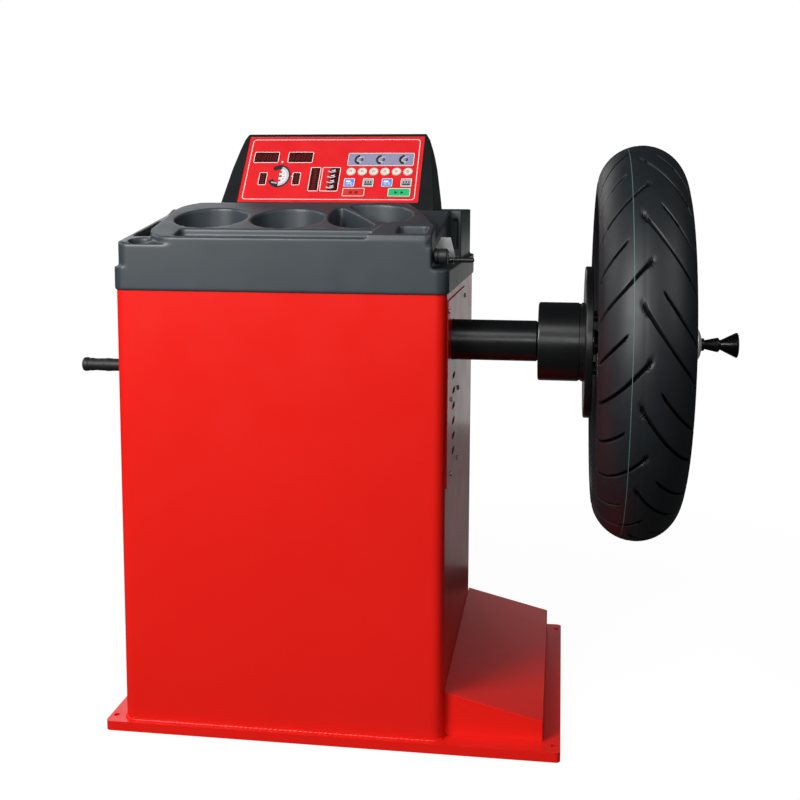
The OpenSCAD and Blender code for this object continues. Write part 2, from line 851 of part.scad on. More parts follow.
module display_windows() {
  top = keypad_t - 1;
  color([0.25, 0.02, 0.02]) on_keypad() {
    for (u = [-128.3, -62.8]) rect_at(u, 106.7, 51, 24, top, top + 0.5);
    rect_at(-128, 54.5, 13, 28, top, top + 0.5);
    rect_at(-64.3, 54.5, 13, 28, top, top + 0.5);
    rect_at(-29.8, 53.6, 17, 55, top, top + 0.5);
    rect_at(0, 53.6, 32, 55, top, top + 0.5);
    rect_at(90, 101.6, 121, 28, top, top + 0.5);
  }
}

module display_board() {
  z = -12.5;
  color([0.05, 0.3, 0.15]) on_keypad() {
    translate([-164, 6, z]) cube([328, keypad_h - 12, 1.6]);
    for (u = [-128.3, -62.8]) rect_at(u, 106.7, 48, 20, z + 1.6, -3.5);
    for (u = round_u) rect_at(u, round_v, 6, 6, z + 1.6, -9.2);
    for (u = square_u) rect_at(u, square_v, 6, 6, z + 1.6, -9.2);
    for (u = bar_key_u) rect_at(u, bar_key_v, 6, 6, z + 1.6, -9.2);
    for (u = [-160, 160]) {
      for (v = [14, keypad_h - 14]) translate([u, v, z + 1.6]) cylinder(r = 2.5, h = 6.5);
    }
  }
}

module round_key(i) {
  color([0.9, 0.86, 0.75]) on_keypad() translate([round_u[i], round_v, 0]) {
    translate([0, 0, -3]) cylinder(r = 8.6, h = 5);
    translate([0, 0, -5]) cylinder(r = 9.8, h = 2);
    translate([0, 0, -9.1 + key_travel]) cylinder(r = 2, h = 4.1 - key_travel);
  }
}

module flat_key(u, v, size) {
  on_keypad() {
    rect_at(u, v, size[0], size[1], -3, 2);
    rect_at(u, v, size[0] + 3, size[1] + 2, -5, -3);
    translate([u, v, -9.1 + key_travel]) cylinder(r = 2, h = 4.1 - key_travel);
  }
}

module round_key_1() { round_key(0); }
module round_key_2() { round_key(1); }
module round_key_3() { round_key(2); }
module round_key_4() { round_key(3); }
module round_key_5() { round_key(4); }
module round_key_6() { round_key(5); }

module square_key(i) {
  color(i % 2 == 0 ? [0.2, 0.35, 0.7] : [0.6, 0.6, 0.6]) flat_key(square_u[i], square_v,
    square_size);
}

module square_key_1() { square_key(0); }
module square_key_2() { square_key(1); }
module square_key_3() { square_key(2); }
module square_key_4() { square_key(3); }

module stop_key() {
  color([0.8, 0.1, 0.1]) flat_key(bar_key_u[0], bar_key_v, bar_key_size);
}

module start_key() {
  color([0.1, 0.5, 0.2]) flat_key(bar_key_u[1], bar_key_v, bar_key_size);
}

// ---- distance gauge ----

module gauge_guide() {
  color([0.3, 0.31, 0.33]) difference() {
    union() {
      bar_x(20, 156, 9, gauge_y, gauge_z);
      for (x = [30, 126]) {
        box(x, x + 16, -264, -118, cab_top, cab_top + 3);
        box(x, x + 16, gauge_y - 8, gauge_y + 8, cab_top, gauge_z - 4);
      }
    }
    bar_x(10, 170, gauge_r + fit, gauge_y, gauge_z);
  }
}

module gauge_rod() {
  color([0.7, 0.71, 0.73]) difference() {
    turned_x([
      [0, -140], [gauge_r - 1, -140], [gauge_r, -139], [gauge_r, 177], [gauge_r - 1, 178],
      [0, 178]
    ], gauge_y, gauge_z);
    for (x = [-120:20:120]) {
      difference() {
        bar_x(x, x + 1, gauge_r + 1, gauge_y, gauge_z);
        bar_x(x - 1, x + 2, gauge_r - 0.4, gauge_y, gauge_z);
      }
    }
  }
}

module gauge_arm() {
  color([0.75, 0.76, 0.74]) difference() {
    union() {
      bar_x(165.5, 173.5, 9.5, gauge_y, gauge_z);
      box(167, 170, -231, gauge_y, 780, 792);
      front_cut(-231, -228) polygon([
        [166, 777], [166, 803], [174, 818], [189, 818], [196, 790], [196, 777],
        [191, 777], [186, 798], [178, 798], [176, 777]
      ]);
    }
    bar_x(160, 180, gauge_r + fit, gauge_y, gauge_z);
  }
}

module gauge_knob() {
  r = gauge_knob_d / 2;
  y = -246;
  z = 790;
  color([0.04, 0.04, 0.04]) {
    turned_x([
      [0, 165], [r - 1.5, 165], [r, 166.5], [r, 171], [r - 1.5, 172], [r - 1.5, 173],
      [r, 174], [r, 184.5], [r - 1.5, 186], [0, 186]
    ], y, z);
    bar_y(y + 4, -231, 4, 171, z);
  }
}

module gauge_pin() {
  y = -240;
  z = 784;
  color([0.05, 0.05, 0.05]) {
    turned_x([
      [0, 188], [4.6, 188], [4.6, 192], [4, 193], [4, 224], [2.6, 226], [0, 226.5]
    ], y, z);
    box(188.5, 195, y, -231, z - 3, z + 3);
  }
}

// ---- rotating assembly ----

module flange_bolt_places() {
  for (a = [0:60:300]) {
    translate([flange_end, axis_y, axis_z]) rotate([a, 0, 0]) translate([0, 48, 0]) children();
  }
}

module adapter_hub() {
  r = hub_d / 2;
  e = flange_start;
  color([0.05, 0.05, 0.05]) difference() {
    turned_x([
      [0, hub_start], [r - 3, hub_start], [r - 0.9, hub_start + 0.9], [r, hub_start + 3],
      [r, e - 9], [r - 1.5, e - 8], [r - 1.5, e - 5], [r, e - 4], [r, e], [0, e]
    ], axis_y, axis_z);
    bar_x(hub_start - 1, 345, shaft_r - fit, axis_y, axis_z);
    bar_x(340, e + 1, clamp_r, axis_y, axis_z);
    flange_bolt_places() bar_x(-32, 1, 4, 0, 0);
  }
}

module flange_disc() {
  r = flange_d / 2;
  color([0.05, 0.05, 0.05]) difference() {
    turned_x([
      [0, flange_start], [r - 1.5, flange_start], [r, flange_start + 1.5],
      [r, flange_end - 1.5], [r - 1.5, flange_end], [0, flange_end]
    ], axis_y, axis_z);
    bar_x(flange_start - 1, flange_end + 1, clamp_r, axis_y, axis_z);
    flange_bolt_places() bar_x(-20, 1, 4, 0, 0);
  }
}

module flange_bolts() {
  color([0.12, 0.12, 0.13]) flange_bolt_places() difference() {
    union() {
      bar_x(0, 8, 6.5, 0, 0);
      bar_x(-32, 0, 4, 0, 0);
    }
    translate([4, 0, 0]) rotate([0, 90, 0]) cylinder(r = 3.5, h = 5, $fn = 6);
  }
}

module clamping_shaft() {
  thread_r = 5;
  color([0.6, 0.61, 0.63]) difference() {
    turned_x([
      [0, 345], [clamp_r, 345], [clamp_r, 567], [thread_r, 569], [thread_r, 621],
      [thread_r - 1, 622], [0, 622]
    ], axis_y, axis_z);
    for (x = [572:3:617]) {
      difference() {
        bar_x(x, x + 1, thread_r + 1, axis_y, axis_z);
        bar_x(x - 1, x + 2, thread_r - 0.5, axis_y, axis_z);
      }
    }
  }
}

module inner_cone() {
  x = flange_end;
  color([0.7, 0.71, 0.73]) turned_x([
    [clamp_r, x], [22, x], [22, x + 3.5], [8.5, x + 23.5], [clamp_r, x + 23.5]
  ], axis_y, axis_z);
}

module wheel_rim() {
  m = wheel_x;
  s = seat_r;
  h = rim_half;
  spoke_t = 26;
  color([0.08, 0.08, 0.09]) difference() {
    union() {
      turned_x([
        [s + 13.7, m - h - 6], [s + 13.7, m - h - 2.2], [s + 7.7, m - h], [s, m - h],
        [s - 1.5, m - 32], [200, m - 22], [200, m + 22], [s - 1.5, m + 32], [s, m + h],
        [s + 7.7, m + h], [s + 13.7, m + h + 2.2], [s + 13.7, m + h + 6],
        [s + 9.7, m + h + 6], [s + 3.7, m + h + 4.7], [s - 4, m + h + 3.7], [212, m + 34],
        [195, m + 25], [195, m - 25], [212, m - 34], [s - 4, m - h - 3.7],
        [s + 3.7, m - h - 4.7], [s + 9.7, m - h - 6]
      ], axis_y, axis_z);
      turned_x([[0, m - hub_half], [38, m - hub_half], [38, m + hub_half], [0, m + hub_half]],
        axis_y, axis_z);
      for (a = [0:60:300]) {
        translate([m - spoke_t / 2, axis_y, axis_z]) rotate([a, 0, 0]) rotate([90, 0, 90])
          linear_extrude(spoke_t) polygon([
            [28, -16], [90, -12], [197, -17], [197, 17], [90, 12], [28, 16]
          ]);
      }
    }
    bar_x(m - 100, m + 100, 17, axis_y, axis_z);
    bar_x(m - 100, m - hub_half + 18.1, wheel_bearing_r, axis_y, axis_z);
    bar_x(m + hub_half - 18.1, m + 100, wheel_bearing_r, axis_y, axis_z);
  }
}

module tyre_section() {
  m = wheel_x;
  half = tyre_w / 2;
  mid = tyre_d / 2 - half;
  low = 237;
  s = seat_r + 0.3;
  difference() {
    union() {
      intersection() {
        translate([mid, m]) circle(half);
        translate([low, m - half - 1]) square([half * 2, half * 2 + 2]);
      }
      polygon([
        [low + 0.01, m - half + 0.2], [low + 0.01, m + half - 0.2], [233.2, m + half - 4],
        [s + 14, m + 57.6], [s + 13.9, m + 53.2], [s + 7.9, m + 50.6], [s, m + 50.6],
        [s, m - 50.6], [s + 7.9, m - 50.6], [s + 13.9, m - 53.2], [s + 14, m - 57.6],
        [233.2, m - half + 4]
      ]);
    }
    translate([mid + 1, m]) circle(half - 9);
    polygon([
      [low + 1, m - half + 10], [low + 1, m + half - 10], [230, m + 49], [s - 1, m + 38],
      [s - 1, m - 38], [230, m - 49]
    ]);
  }
}

module tyre() {
  color([0.05, 0.055, 0.06]) difference() {
    translate([0, axis_y, axis_z]) rotate([0, 90, 0]) rotate_extrude() tyre_section();
    for (x = [wheel_x - 16, wheel_x + 2]) {
      difference() {
        bar_x(x, x + 3, tyre_d / 2 + 1, axis_y, axis_z);
        bar_x(x - 1, x + 4, tyre_d / 2 - 2.5, axis_y, axis_z);
      }
    }
  }
}

module wheel_bearings() {
  seat = 18.1;
  color([0.7, 0.71, 0.73]) {
    bearing_x(wheel_x - hub_half + seat - wheel_bearing_w, 10, wheel_bearing_r,
      wheel_bearing_w);
    bearing_x(wheel_x + hub_half - seat, 10, wheel_bearing_r, wheel_bearing_w);
  }
}

module outer_cone() {
  r = clamp_r + fit;
  n = nut_start;
  color([0.78, 0.79, 0.8]) turned_x([
    [r, 521.6], [8, 521.6], [27, 566.6], [27, n - 8.5], [26, n - 6.2], [23, n - 3.8],
    [18, n - 1.5], [12, n], [r, n]
  ], axis_y, axis_z);
}

module quick_nut() {
  n = nut_start;
  r = 5 + fit;
  color([0.04, 0.04, 0.04]) turned_x([
    [r, n], [10, n], [10, n + 4], [7.4, n + 5.5], [7.4, n + 6.5], [11.5, n + 25],
    [10.5, n + 27], [7.8, n + 28.5], [7.8, n + 29.5], [19.5, n + 53], [19.5, n + 55],
    [17.5, n + 56], [0, n + 56], [0, n + 48], [r, n + 47]
  ], axis_y, axis_z);
}

base_pan();
cabinet_shell();
side_wing();
rear_door();
spindle_cover();
panel_screws();
inner_column();
flex_plates();
force_sensors();
spindle_carriage();
spindle_tube();
spindle_bearings();
spindle_shaft();
spindle_pulley();
drive_belt();
drive_motor();
motor_bracket();
motor_rotor();
motor_pulley();
encoder_disc();
encoder_sensor();
control_board();
power_supply();
power_inlet();
power_rocker();
peg_stud();
peg_sleeve();
weight_tray();
display_housing();
display_back();
display_board();
keypad_panel();
display_windows();
round_key_1();
round_key_2();
round_key_3();
round_key_4();
round_key_5();
round_key_6();
square_key_1();
square_key_2();
square_key_3();
square_key_4();
stop_key();
start_key();
gauge_guide();
gauge_rod();
gauge_arm();
gauge_knob();
gauge_pin();
adapter_hub();
flange_disc();
flange_bolts();
clamping_shaft();
inner_cone();
wheel_rim();
tyre();
wheel_bearings();
outer_cone();
quick_nut();
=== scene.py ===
import json
import math

import bmesh
import bpy
import numpy as np
from mathutils import Matrix, Vector


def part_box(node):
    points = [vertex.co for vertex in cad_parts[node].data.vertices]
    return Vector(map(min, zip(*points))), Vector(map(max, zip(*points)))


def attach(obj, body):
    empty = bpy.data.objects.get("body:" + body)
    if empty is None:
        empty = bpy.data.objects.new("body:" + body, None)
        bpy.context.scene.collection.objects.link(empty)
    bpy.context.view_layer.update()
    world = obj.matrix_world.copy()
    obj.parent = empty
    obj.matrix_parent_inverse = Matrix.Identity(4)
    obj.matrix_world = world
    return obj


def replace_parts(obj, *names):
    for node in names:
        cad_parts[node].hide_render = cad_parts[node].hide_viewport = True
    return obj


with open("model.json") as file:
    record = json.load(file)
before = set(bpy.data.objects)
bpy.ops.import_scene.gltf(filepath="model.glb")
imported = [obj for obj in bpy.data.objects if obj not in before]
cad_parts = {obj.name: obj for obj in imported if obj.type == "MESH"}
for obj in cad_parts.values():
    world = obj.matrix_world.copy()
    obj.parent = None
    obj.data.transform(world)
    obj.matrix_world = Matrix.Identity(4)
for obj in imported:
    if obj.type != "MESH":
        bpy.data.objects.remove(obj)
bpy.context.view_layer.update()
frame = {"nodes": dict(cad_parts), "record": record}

MM = 0.001
SCENE = bpy.context.scene


# ---- materials ----

class Graph:
    """The node tree of one material, built from small steps."""

    def __init__(self, name):
        self.mat = bpy.data.materials.new(name)
        self.mat.use_nodes = True
        self.tree = self.mat.node_tree
        self.tree.nodes.clear()
        self.out = self.tree.nodes.new("ShaderNodeOutputMaterial")
        self.bsdf = self.tree.nodes.new("ShaderNodeBsdfPrincipled")
        self.tree.links.new(self.bsdf.outputs[0], self.out.inputs[0])
        self.coord = self.tree.nodes.new("ShaderNodeTexCoord").outputs["Object"]

    def link(self, source, target):
        self.tree.links.new(source, target)

    def stretched(self, factors):
        node = self.tree.nodes.new("ShaderNodeMapping")
        node.inputs["Scale"].default_value = factors
        self.link(self.coord, node.inputs["Vector"])
        return node.outputs[0]

    def noise(self, scale, detail=3.0, rough=0.55, stretch=None):
        node = self.tree.nodes.new("ShaderNodeTexNoise")
        node.inputs["Scale"].default_value = scale
        node.inputs["Detail"].default_value = detail
        node.inputs["Roughness"].default_value = rough
        self.link(self.stretched(stretch) if stretch else self.coord, node.inputs["Vector"])
        return node.outputs["Fac"]

    def span(self, value, low, high, to_low=0.0, to_high=1.0):
        node = self.tree.nodes.new("ShaderNodeMapRange")
        self.link(value, node.inputs["Value"])
        for key, number in (("From Min", low), ("From Max", high), ("To Min", to_low),
                            ("To Max", to_high)):
            node.inputs[key].default_value = number
        return node.outputs["Result"]

    def math(self, kind, first, second):
        node = self.tree.nodes.new("ShaderNodeMath")
        node.operation = kind
        for i, value in enumerate((first, second)):
            if isinstance(value, (int, float)):
                node.inputs[i].default_value = value
            else:
                self.link(value, node.inputs[i])
        return node.outputs[0]

    def mix(self, factor, first, second):
        node = self.tree.nodes.new("ShaderNodeMix")
        node.data_type = "RGBA"
        self.link(factor, node.inputs["Factor"])
        for key, value in (("A", first), ("B", second)):
            socket = [s for s in node.inputs if s.name == key and s.type == "RGBA"][0]
            if isinstance(value, tuple):
                socket.default_value = (*value, 1.0)
            else:
                self.link(value, socket)
        return [s for s in node.outputs if s.type == "RGBA"][0]

    def bump(self, height, strength, depth, normal=None):
        node = self.tree.nodes.new("ShaderNodeBump")
        node.inputs["Strength"].default_value = strength
        node.inputs["Distance"].default_value = depth
        self.link(height, node.inputs["Height"])
        if normal is not None:
            self.link(normal, node.inputs["Normal"])
        return node.outputs[0]

    def edges(self, radius):
        """0 on flats and up to about 1 on convex and concave edges."""
        soft = self.tree.nodes.new("ShaderNodeBevel")
        soft.samples = 3
        soft.inputs["Radius"].default_value = radius
        plain = self.tree.nodes.new("ShaderNodeNewGeometry")
        dot = self.tree.nodes.new("ShaderNodeVectorMath")
        dot.operation = "DOT_PRODUCT"
        self.link(soft.outputs[0], dot.inputs[0])
        self.link(plain.outputs["Normal"], dot.inputs[1])
        return self.span(dot.outputs["Value"], 0.995, 0.8)

    def set(self, **values):
        for key, value in values.items():
            socket = self.bsdf.inputs[key.replace("_", " ")]
            if isinstance(value, tuple):
                socket.default_value = (*value, 1.0)
            elif isinstance(value, (int, float)):
                socket.default_value = value
            else:
                self.link(value, socket)


NOISE_SPAN = (0.15, 0.85)


def surface(name, dark, light, patch=9.0, rough=(0.35, 0.5), rough_scale=30.0, bumps=(),
            metal=0.0, coat=0.0, coat_rough=0.1, specular=0.5, edge=None, edge_radius=0.0012,
            speck=None, stretch=None):
    """A painted, moulded or metal surface. bumps holds (scale, strength, depth, detail)."""
    g = Graph(name)
    colour = g.mix(g.span(g.noise(patch, 4.0, 0.6, stretch), *NOISE_SPAN), dark, light)
    if speck:
        shade, scale, share = speck
        colour = g.mix(g.span(g.noise(scale, 2.0), 1.0 - share, 1.02 - share), colour, shade)
    if edge:
        shade, amount = edge
        wear = g.math("MULTIPLY", g.edges(edge_radius), g.span(g.noise(55.0, 4.0), 0.42, 0.68,
                                                               0.15, amount))
        colour = g.mix(wear, colour, shade)
    g.set(Base_Color=colour, Metallic=metal, Coat_Weight=coat, Coat_Roughness=coat_rough,
          Specular_IOR_Level=specular)
    g.set(Roughness=g.span(g.noise(rough_scale, 3.0, 0.5, stretch), *NOISE_SPAN, *rough))
    normal = None
    for scale, strength, depth, detail in bumps:
        normal = g.bump(g.noise(scale, detail, 0.5, stretch), strength, depth, normal)
    if normal is not None:
        g.link(normal, g.bsdf.inputs["Normal"])
    return g.mat


def plain_print(name, shade, rough=0.35):
    """Printed ink or film: a nearly even tone with a fine tooth."""
    lighter = tuple(min(1.0, c * 1.08 + 0.004) for c in shade)
    return surface(name, shade, lighter, patch=60.0, rough=(rough, rough + 0.12),
                   rough_scale=90.0, bumps=[(2600.0, 0.05, 0.00003, 1.0)])


MATERIALS = {}


def add(slot, *args, **kwargs):
    MATERIALS[slot] = surface(slot, *args, **kwargs)


add("red_paint", (0.71, 0.0088, 0.0050), (0.78, 0.0115, 0.0068), patch=2.2, rough=(0.27, 0.36),
    rough_scale=14.0, coat=0.06, coat_rough=0.12, specular=0.30,
    bumps=[(210.0, 0.07, 0.0002, 1.0)])
add("white_steel", (0.62, 0.62, 0.60), (0.78, 0.78, 0.76), patch=40.0, rough=(0.25, 0.45),
    metal=0.6, bumps=[(900.0, 0.1, 0.0001, 2.0)], edge=((0.35, 0.35, 0.34), 0.4))
add("dark_steel", (0.055, 0.058, 0.062), (0.09, 0.092, 0.096), rough=(0.35, 0.55), metal=0.5,
    bumps=[(300.0, 0.1, 0.0002, 3.0)], edge=((0.2, 0.2, 0.2), 0.5))
add("spring_steel", (0.28, 0.29, 0.31), (0.4, 0.41, 0.43), rough=(0.2, 0.35), metal=1.0,
    bumps=[(500.0, 0.06, 0.0001, 2.0)], stretch=(1.0, 1.0, 12.0))
add("sensor_brass", (0.55, 0.38, 0.14), (0.68, 0.48, 0.2), rough=(0.25, 0.4), metal=1.0,
    bumps=[(700.0, 0.06, 0.0001, 2.0)])
add("black_paint", (0.0025, 0.0028, 0.0030), (0.005, 0.0054, 0.006), patch=25.0,
    rough=(0.26, 0.38), rough_scale=45.0, coat=0.08, coat_rough=0.2, specular=0.42,
    bumps=[(420.0, 0.05, 0.00018, 2.0), (90.0, 0.04, 0.0003, 1.0)],
    edge=((0.07, 0.072, 0.075), 0.55), edge_radius=0.0012)
add("bearing_steel", (0.45, 0.46, 0.48), (0.6, 0.61, 0.63), rough=(0.12, 0.25), metal=1.0,
    bumps=[(900.0, 0.04, 0.0001, 1.0)])
add("ground_steel", (0.42, 0.43, 0.45), (0.55, 0.56, 0.58), rough=(0.18, 0.34), metal=1.0,
    bumps=[(800.0, 0.06, 0.0001, 2.0)], stretch=(14.0, 1.0, 1.0))
add("pulley_alloy", (0.5, 0.51, 0.53), (0.62, 0.63, 0.65), rough=(0.3, 0.45), metal=1.0,
    bumps=[(300.0, 0.1, 0.0002, 3.0)])
add("belt_rubber", (0.012, 0.012, 0.012), (0.02, 0.02, 0.02), rough=(0.6, 0.75),
    bumps=[(900.0, 0.2, 0.0002, 2.0)])
add("motor_paint", (0.16, 0.18, 0.2), (0.22, 0.24, 0.26), rough=(0.4, 0.55),
    bumps=[(500.0, 0.15, 0.0002, 2.0)])
add("black_plastic", (0.011, 0.011, 0.012), (0.017, 0.017, 0.018), rough=(0.35, 0.5),
    bumps=[(1400.0, 0.12, 0.0001, 1.0)])
add("circuit_board", (0.01, 0.10, 0.045), (0.015, 0.16, 0.07), patch=300.0, rough=(0.3, 0.45),
    bumps=[(700.0, 0.1, 0.0001, 1.0)])
add("transformer_wire", (0.35, 0.16, 0.07), (0.5, 0.24, 0.1), rough=(0.3, 0.45), metal=0.8,
    bumps=[(900.0, 0.2, 0.0002, 1.0)])
add("rocker_red", (0.55, 0.02, 0.015), (0.65, 0.03, 0.02), rough=(0.25, 0.35))
add("grip_rubber", (0.006, 0.0063, 0.0066), (0.011, 0.0114, 0.012), patch=60.0,
    rough=(0.45, 0.6), specular=0.4, bumps=[(700.0, 0.18, 0.0002, 3.0)])
add("tray_plastic", (0.024, 0.032, 0.038), (0.033, 0.043, 0.050), patch=7.0,
    rough=(0.38, 0.52), rough_scale=22.0, specular=0.5, coat=0.12, coat_rough=0.3,
    bumps=[(1500.0, 0.22, 0.00012, 2.0), (260.0, 0.06, 0.0003, 2.0)],
    edge=((0.10, 0.115, 0.125), 0.5), edge_radius=0.003, speck=((0.09, 0.10, 0.11), 480.0, 0.28))
add("head_plastic", (0.007, 0.0085, 0.009), (0.012, 0.014, 0.015), patch=9.0,
    rough=(0.28, 0.42), rough_scale=25.0, coat=0.2, coat_rough=0.2,
    bumps=[(1500.0, 0.14, 0.0001, 2.0)], edge=((0.04, 0.044, 0.046), 0.4), edge_radius=0.003)
add("keypad_film", (0.66, 0.012, 0.016), (0.74, 0.018, 0.022), patch=30.0, rough=(0.3, 0.42),
    bumps=[(2200.0, 0.08, 0.00005, 1.0)], coat=0.2, coat_rough=0.25)
add("window_red", (0.035, 0.0035, 0.0035), (0.06, 0.006, 0.006), patch=90.0, rough=(0.12, 0.2),
    coat=0.4, coat_rough=0.08)
add("key_cream", (0.68, 0.62, 0.50), (0.80, 0.75, 0.64), patch=70.0, rough=(0.35, 0.48))
add("key_blue", (0.06, 0.20, 0.58), (0.10, 0.28, 0.70), patch=90.0, rough=(0.35, 0.48))
add("key_grey", (0.33, 0.31, 0.32), (0.46, 0.44, 0.45), patch=90.0, rough=(0.35, 0.48))
add("key_red", (0.60, 0.02, 0.015), (0.72, 0.035, 0.03), patch=60.0, rough=(0.35, 0.48))
add("key_green", (0.01, 0.40, 0.13), (0.02, 0.52, 0.18), patch=60.0, rough=(0.35, 0.48))
add("zinc_plate", (0.20, 0.205, 0.205), (0.30, 0.305, 0.30), patch=45.0, rough=(0.4, 0.55),
    metal=0.7, bumps=[(700.0, 0.12, 0.0001, 3.0)], edge=((0.7, 0.7, 0.7), 0.5))
add("pin_black", (0.006, 0.006, 0.0065), (0.011, 0.011, 0.012), rough=(0.2, 0.35), coat=0.3)
add("black_oxide", (0.012, 0.012, 0.013), (0.022, 0.022, 0.024), rough=(0.3, 0.45), metal=0.6,
    bumps=[(900.0, 0.1, 0.0001, 2.0)])
add("wheel_alloy", (0.012, 0.0125, 0.0135), (0.022, 0.0225, 0.024), rough=(0.25, 0.4),
    coat=0.4, coat_rough=0.12, bumps=[(600.0, 0.12, 0.0002, 2.0)],
    edge=((0.16, 0.16, 0.165), 0.4))
add("tyre_rubber", (0.0040, 0.0060, 0.0080), (0.0072, 0.0102, 0.0132), patch=12.0,
    rough=(0.45, 0.57), rough_scale=40.0, specular=0.52,
    bumps=[(1300.0, 0.25, 0.00015, 3.0), (180.0, 0.08, 0.0004, 2.0)])
# Painted shade: the groove floors get a rubber much darker than the tread, standing for the shade
# down in the grooves
add("groove_shade_rubber", (0.0010, 0.0012, 0.0014), (0.0020, 0.0023, 0.0026), patch=30.0,
    rough=(0.72, 0.85), specular=0.15, bumps=[(1300.0, 0.2, 0.00015, 2.0)])
add("bright_steel", (0.62, 0.62, 0.61), (0.80, 0.80, 0.79), patch=80.0, rough=(0.34, 0.5),
    rough_scale=120.0, metal=0.45, bumps=[(500.0, 0.12, 0.00015, 2.0)],
    edge=((0.85, 0.85, 0.85), 0.5))
add("nut_black", (0.003, 0.003, 0.0034), (0.006, 0.006, 0.0065), rough=(0.22, 0.36), coat=0.1,
    specular=0.3, coat_rough=0.12, bumps=[(500.0, 0.08, 0.0001, 2.0)],
    edge=((0.06, 0.06, 0.06), 0.4))

INK = {
    "white_ink": plain_print("white_ink", (0.80, 0.74, 0.72)),
    "black_ink": plain_print("black_ink", (0.018, 0.018, 0.022)),
    "lilac_ink": plain_print("lilac_ink", (0.25, 0.245, 0.37)),
    "film_red_ink": plain_print("film_red_ink", (0.64, 0.012, 0.016)),
    "silver_ink": plain_print("silver_ink", (0.48, 0.49, 0.53)),
    "dark_red_ink": plain_print("dark_red_ink", (0.20, 0.012, 0.012)),
    "segment_red": plain_print("segment_red", (0.105, 0.010, 0.009)),
    "brown_ink": plain_print("brown_ink", (0.22, 0.12, 0.05)),
    "teal_paint": plain_print("teal_paint", (0.06, 0.125, 0.12), 0.6),
}

NODE_SLOT = {s["node"]: s["material_slot"] for s in frame["record"]["subparts"]}


# ---- mesh helpers ----

class Build:
    """Collects points and faces in the frame's metres, then makes one piece."""

    def __init__(self):
        self.points = []
        self.faces = []
        self.slots = []

    def add(self, points, faces, slot=0):
        base = len(self.points)
        self.points += [tuple(p) for p in points]
        self.faces += [tuple(base + i for i in f) for f in faces]
        self.slots += [slot] * len(faces)

    def loops(self, loops, slot=0, closed=False):
        """Skins a row of equal point loops, one after another, and caps both ends if open."""
        n = len(loops[0])
        points = [p for loop in loops for p in loop]
        faces = []
        rows = len(loops) if closed else len(loops) - 1
        for r in range(rows):
            a, b = r * n, ((r + 1) % len(loops)) * n
            faces += [(a + i, a + (i + 1) % n, b + (i + 1) % n, b + i) for i in range(n)]
        if not closed:
            faces += [tuple(reversed(range(n))), tuple((rows * n) + i for i in range(n))]
        self.add(points, faces, slot)

    def piece(self, name, materials, body, slot, smooth=True):
        mesh = bpy.data.meshes.new(name)
        mesh.from_pydata(self.points, [], self.faces)
        mesh.polygons.foreach_set("material_index", self.slots)
        mesh.polygons.foreach_set("use_smooth", [smooth] * len(self.faces))
        for material in materials:
            mesh.materials.append(material)
        fix = bmesh.new()
        fix.from_mesh(mesh)
        bmesh.ops.recalc_face_normals(fix, faces=fix.faces)
        fix.to_mesh(mesh)
        fix.free()
        piece = bpy.data.objects.new(name, mesh)
        SCENE.collection.objects.link(piece)
        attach(piece, body)
        return piece


def modifier(piece, kind, **values):
    added = piece.modifiers.new(kind.lower(), kind)
    for key, value in values.items():
        setattr(added, key, value)


def soften(piece, width):
    """Rounds a CAD node's edges without touching its mesh."""
    modifier(piece, "WELD", merge_threshold=0.02 * MM)
    modifier(piece, "BEVEL", width=width, segments=2, limit_method="ANGLE",
             angle_limit=math.radians(35.0), use_clamp_overlap=True,
             miter_outer="MITER_ARC")
    modifier(piece, "WEIGHTED_NORMAL", keep_sharp=False, weight=60)


def apply_modifiers(piece):
    bpy.context.view_layer.update()
    graph = bpy.context.evaluated_depsgraph_get()
    mesh = bpy.data.meshes.new_from_object(piece.evaluated_get(graph), depsgraph=graph)
    piece.modifiers.clear()
    piece.data = mesh


def circle(cu, cv, radius, count, start=0.0, end=2 * math.pi):
    """Points round a circle or along an arc of it, in radians."""
    full = abs(end - start - 2 * math.pi) < 1e-6
    steps = count if full else count - 1
    return [(cu + radius * math.cos(start + (end - start) * i / steps),
             cv + radius * math.sin(start + (end - start) * i / steps)) for i in range(count)]


def rounded(cu, cv, width, height, radius, steps=5):
    """The outline of a rectangle with rounded corners, from its centre and size."""
    points = []
    for sx, sy, turn in ((1, 1, 0), (-1, 1, 1), (-1, -1, 2), (1, -1, 3)):
        points += circle(cu + sx * (width / 2 - radius), cv + sy * (height / 2 - radius), radius,
                         steps, turn * math.pi / 2, (turn + 1) * math.pi / 2)
    return points


# ---- keypad print ----

PANEL_LOW, PANEL_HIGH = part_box("keypad_panel")
# The head's face leans back by this much
LEAN = math.radians(39.7)
UP = Vector((0.0, math.sin(LEAN), math.cos(LEAN)))
OUT = Vector((0.0, -math.cos(LEAN), math.sin(LEAN)))
# Heights above the face's datum, in mm: the CAD parts, then the print's thicknesses
PANEL_BACK, PANEL_TOP, WINDOW_TOP, KEY_TOP = -1.0, 0.6, 1.1, 2.0
THIN, MARK, SEGMENT, SECTION, FILM, LINE = 0.06, 0.1, 0.12, 0.14, 0.16, 0.2
# Where the datum meets the foot of the panel, in the middle
PAD = Vector(((PANEL_LOW.x + PANEL_HIGH.x) / 2,
              PANEL_LOW.y + PANEL_TOP * MM * math.cos(LEAN),
              PANEL_LOW.z - PANEL_BACK * MM * math.sin(LEAN)))
INKS = list(INK.values())
INK_INDEX = {name: i for i, name in enumerate(INK)}


def on_pad(u, v, height):
    """A keypad point: u across from its middle, v up its slope, height above its datum, in mm."""
    return PAD + (Vector((1, 0, 0)) * u + UP * v + OUT * height) * MM


def plate(build, outline, low, high, ink):
    """A thin printed shape with upright edges."""
    build.loops([[on_pad(u, v, low) for u, v in outline],
                 [on_pad(u, v, high) for u, v in outline]], INK_INDEX[ink])


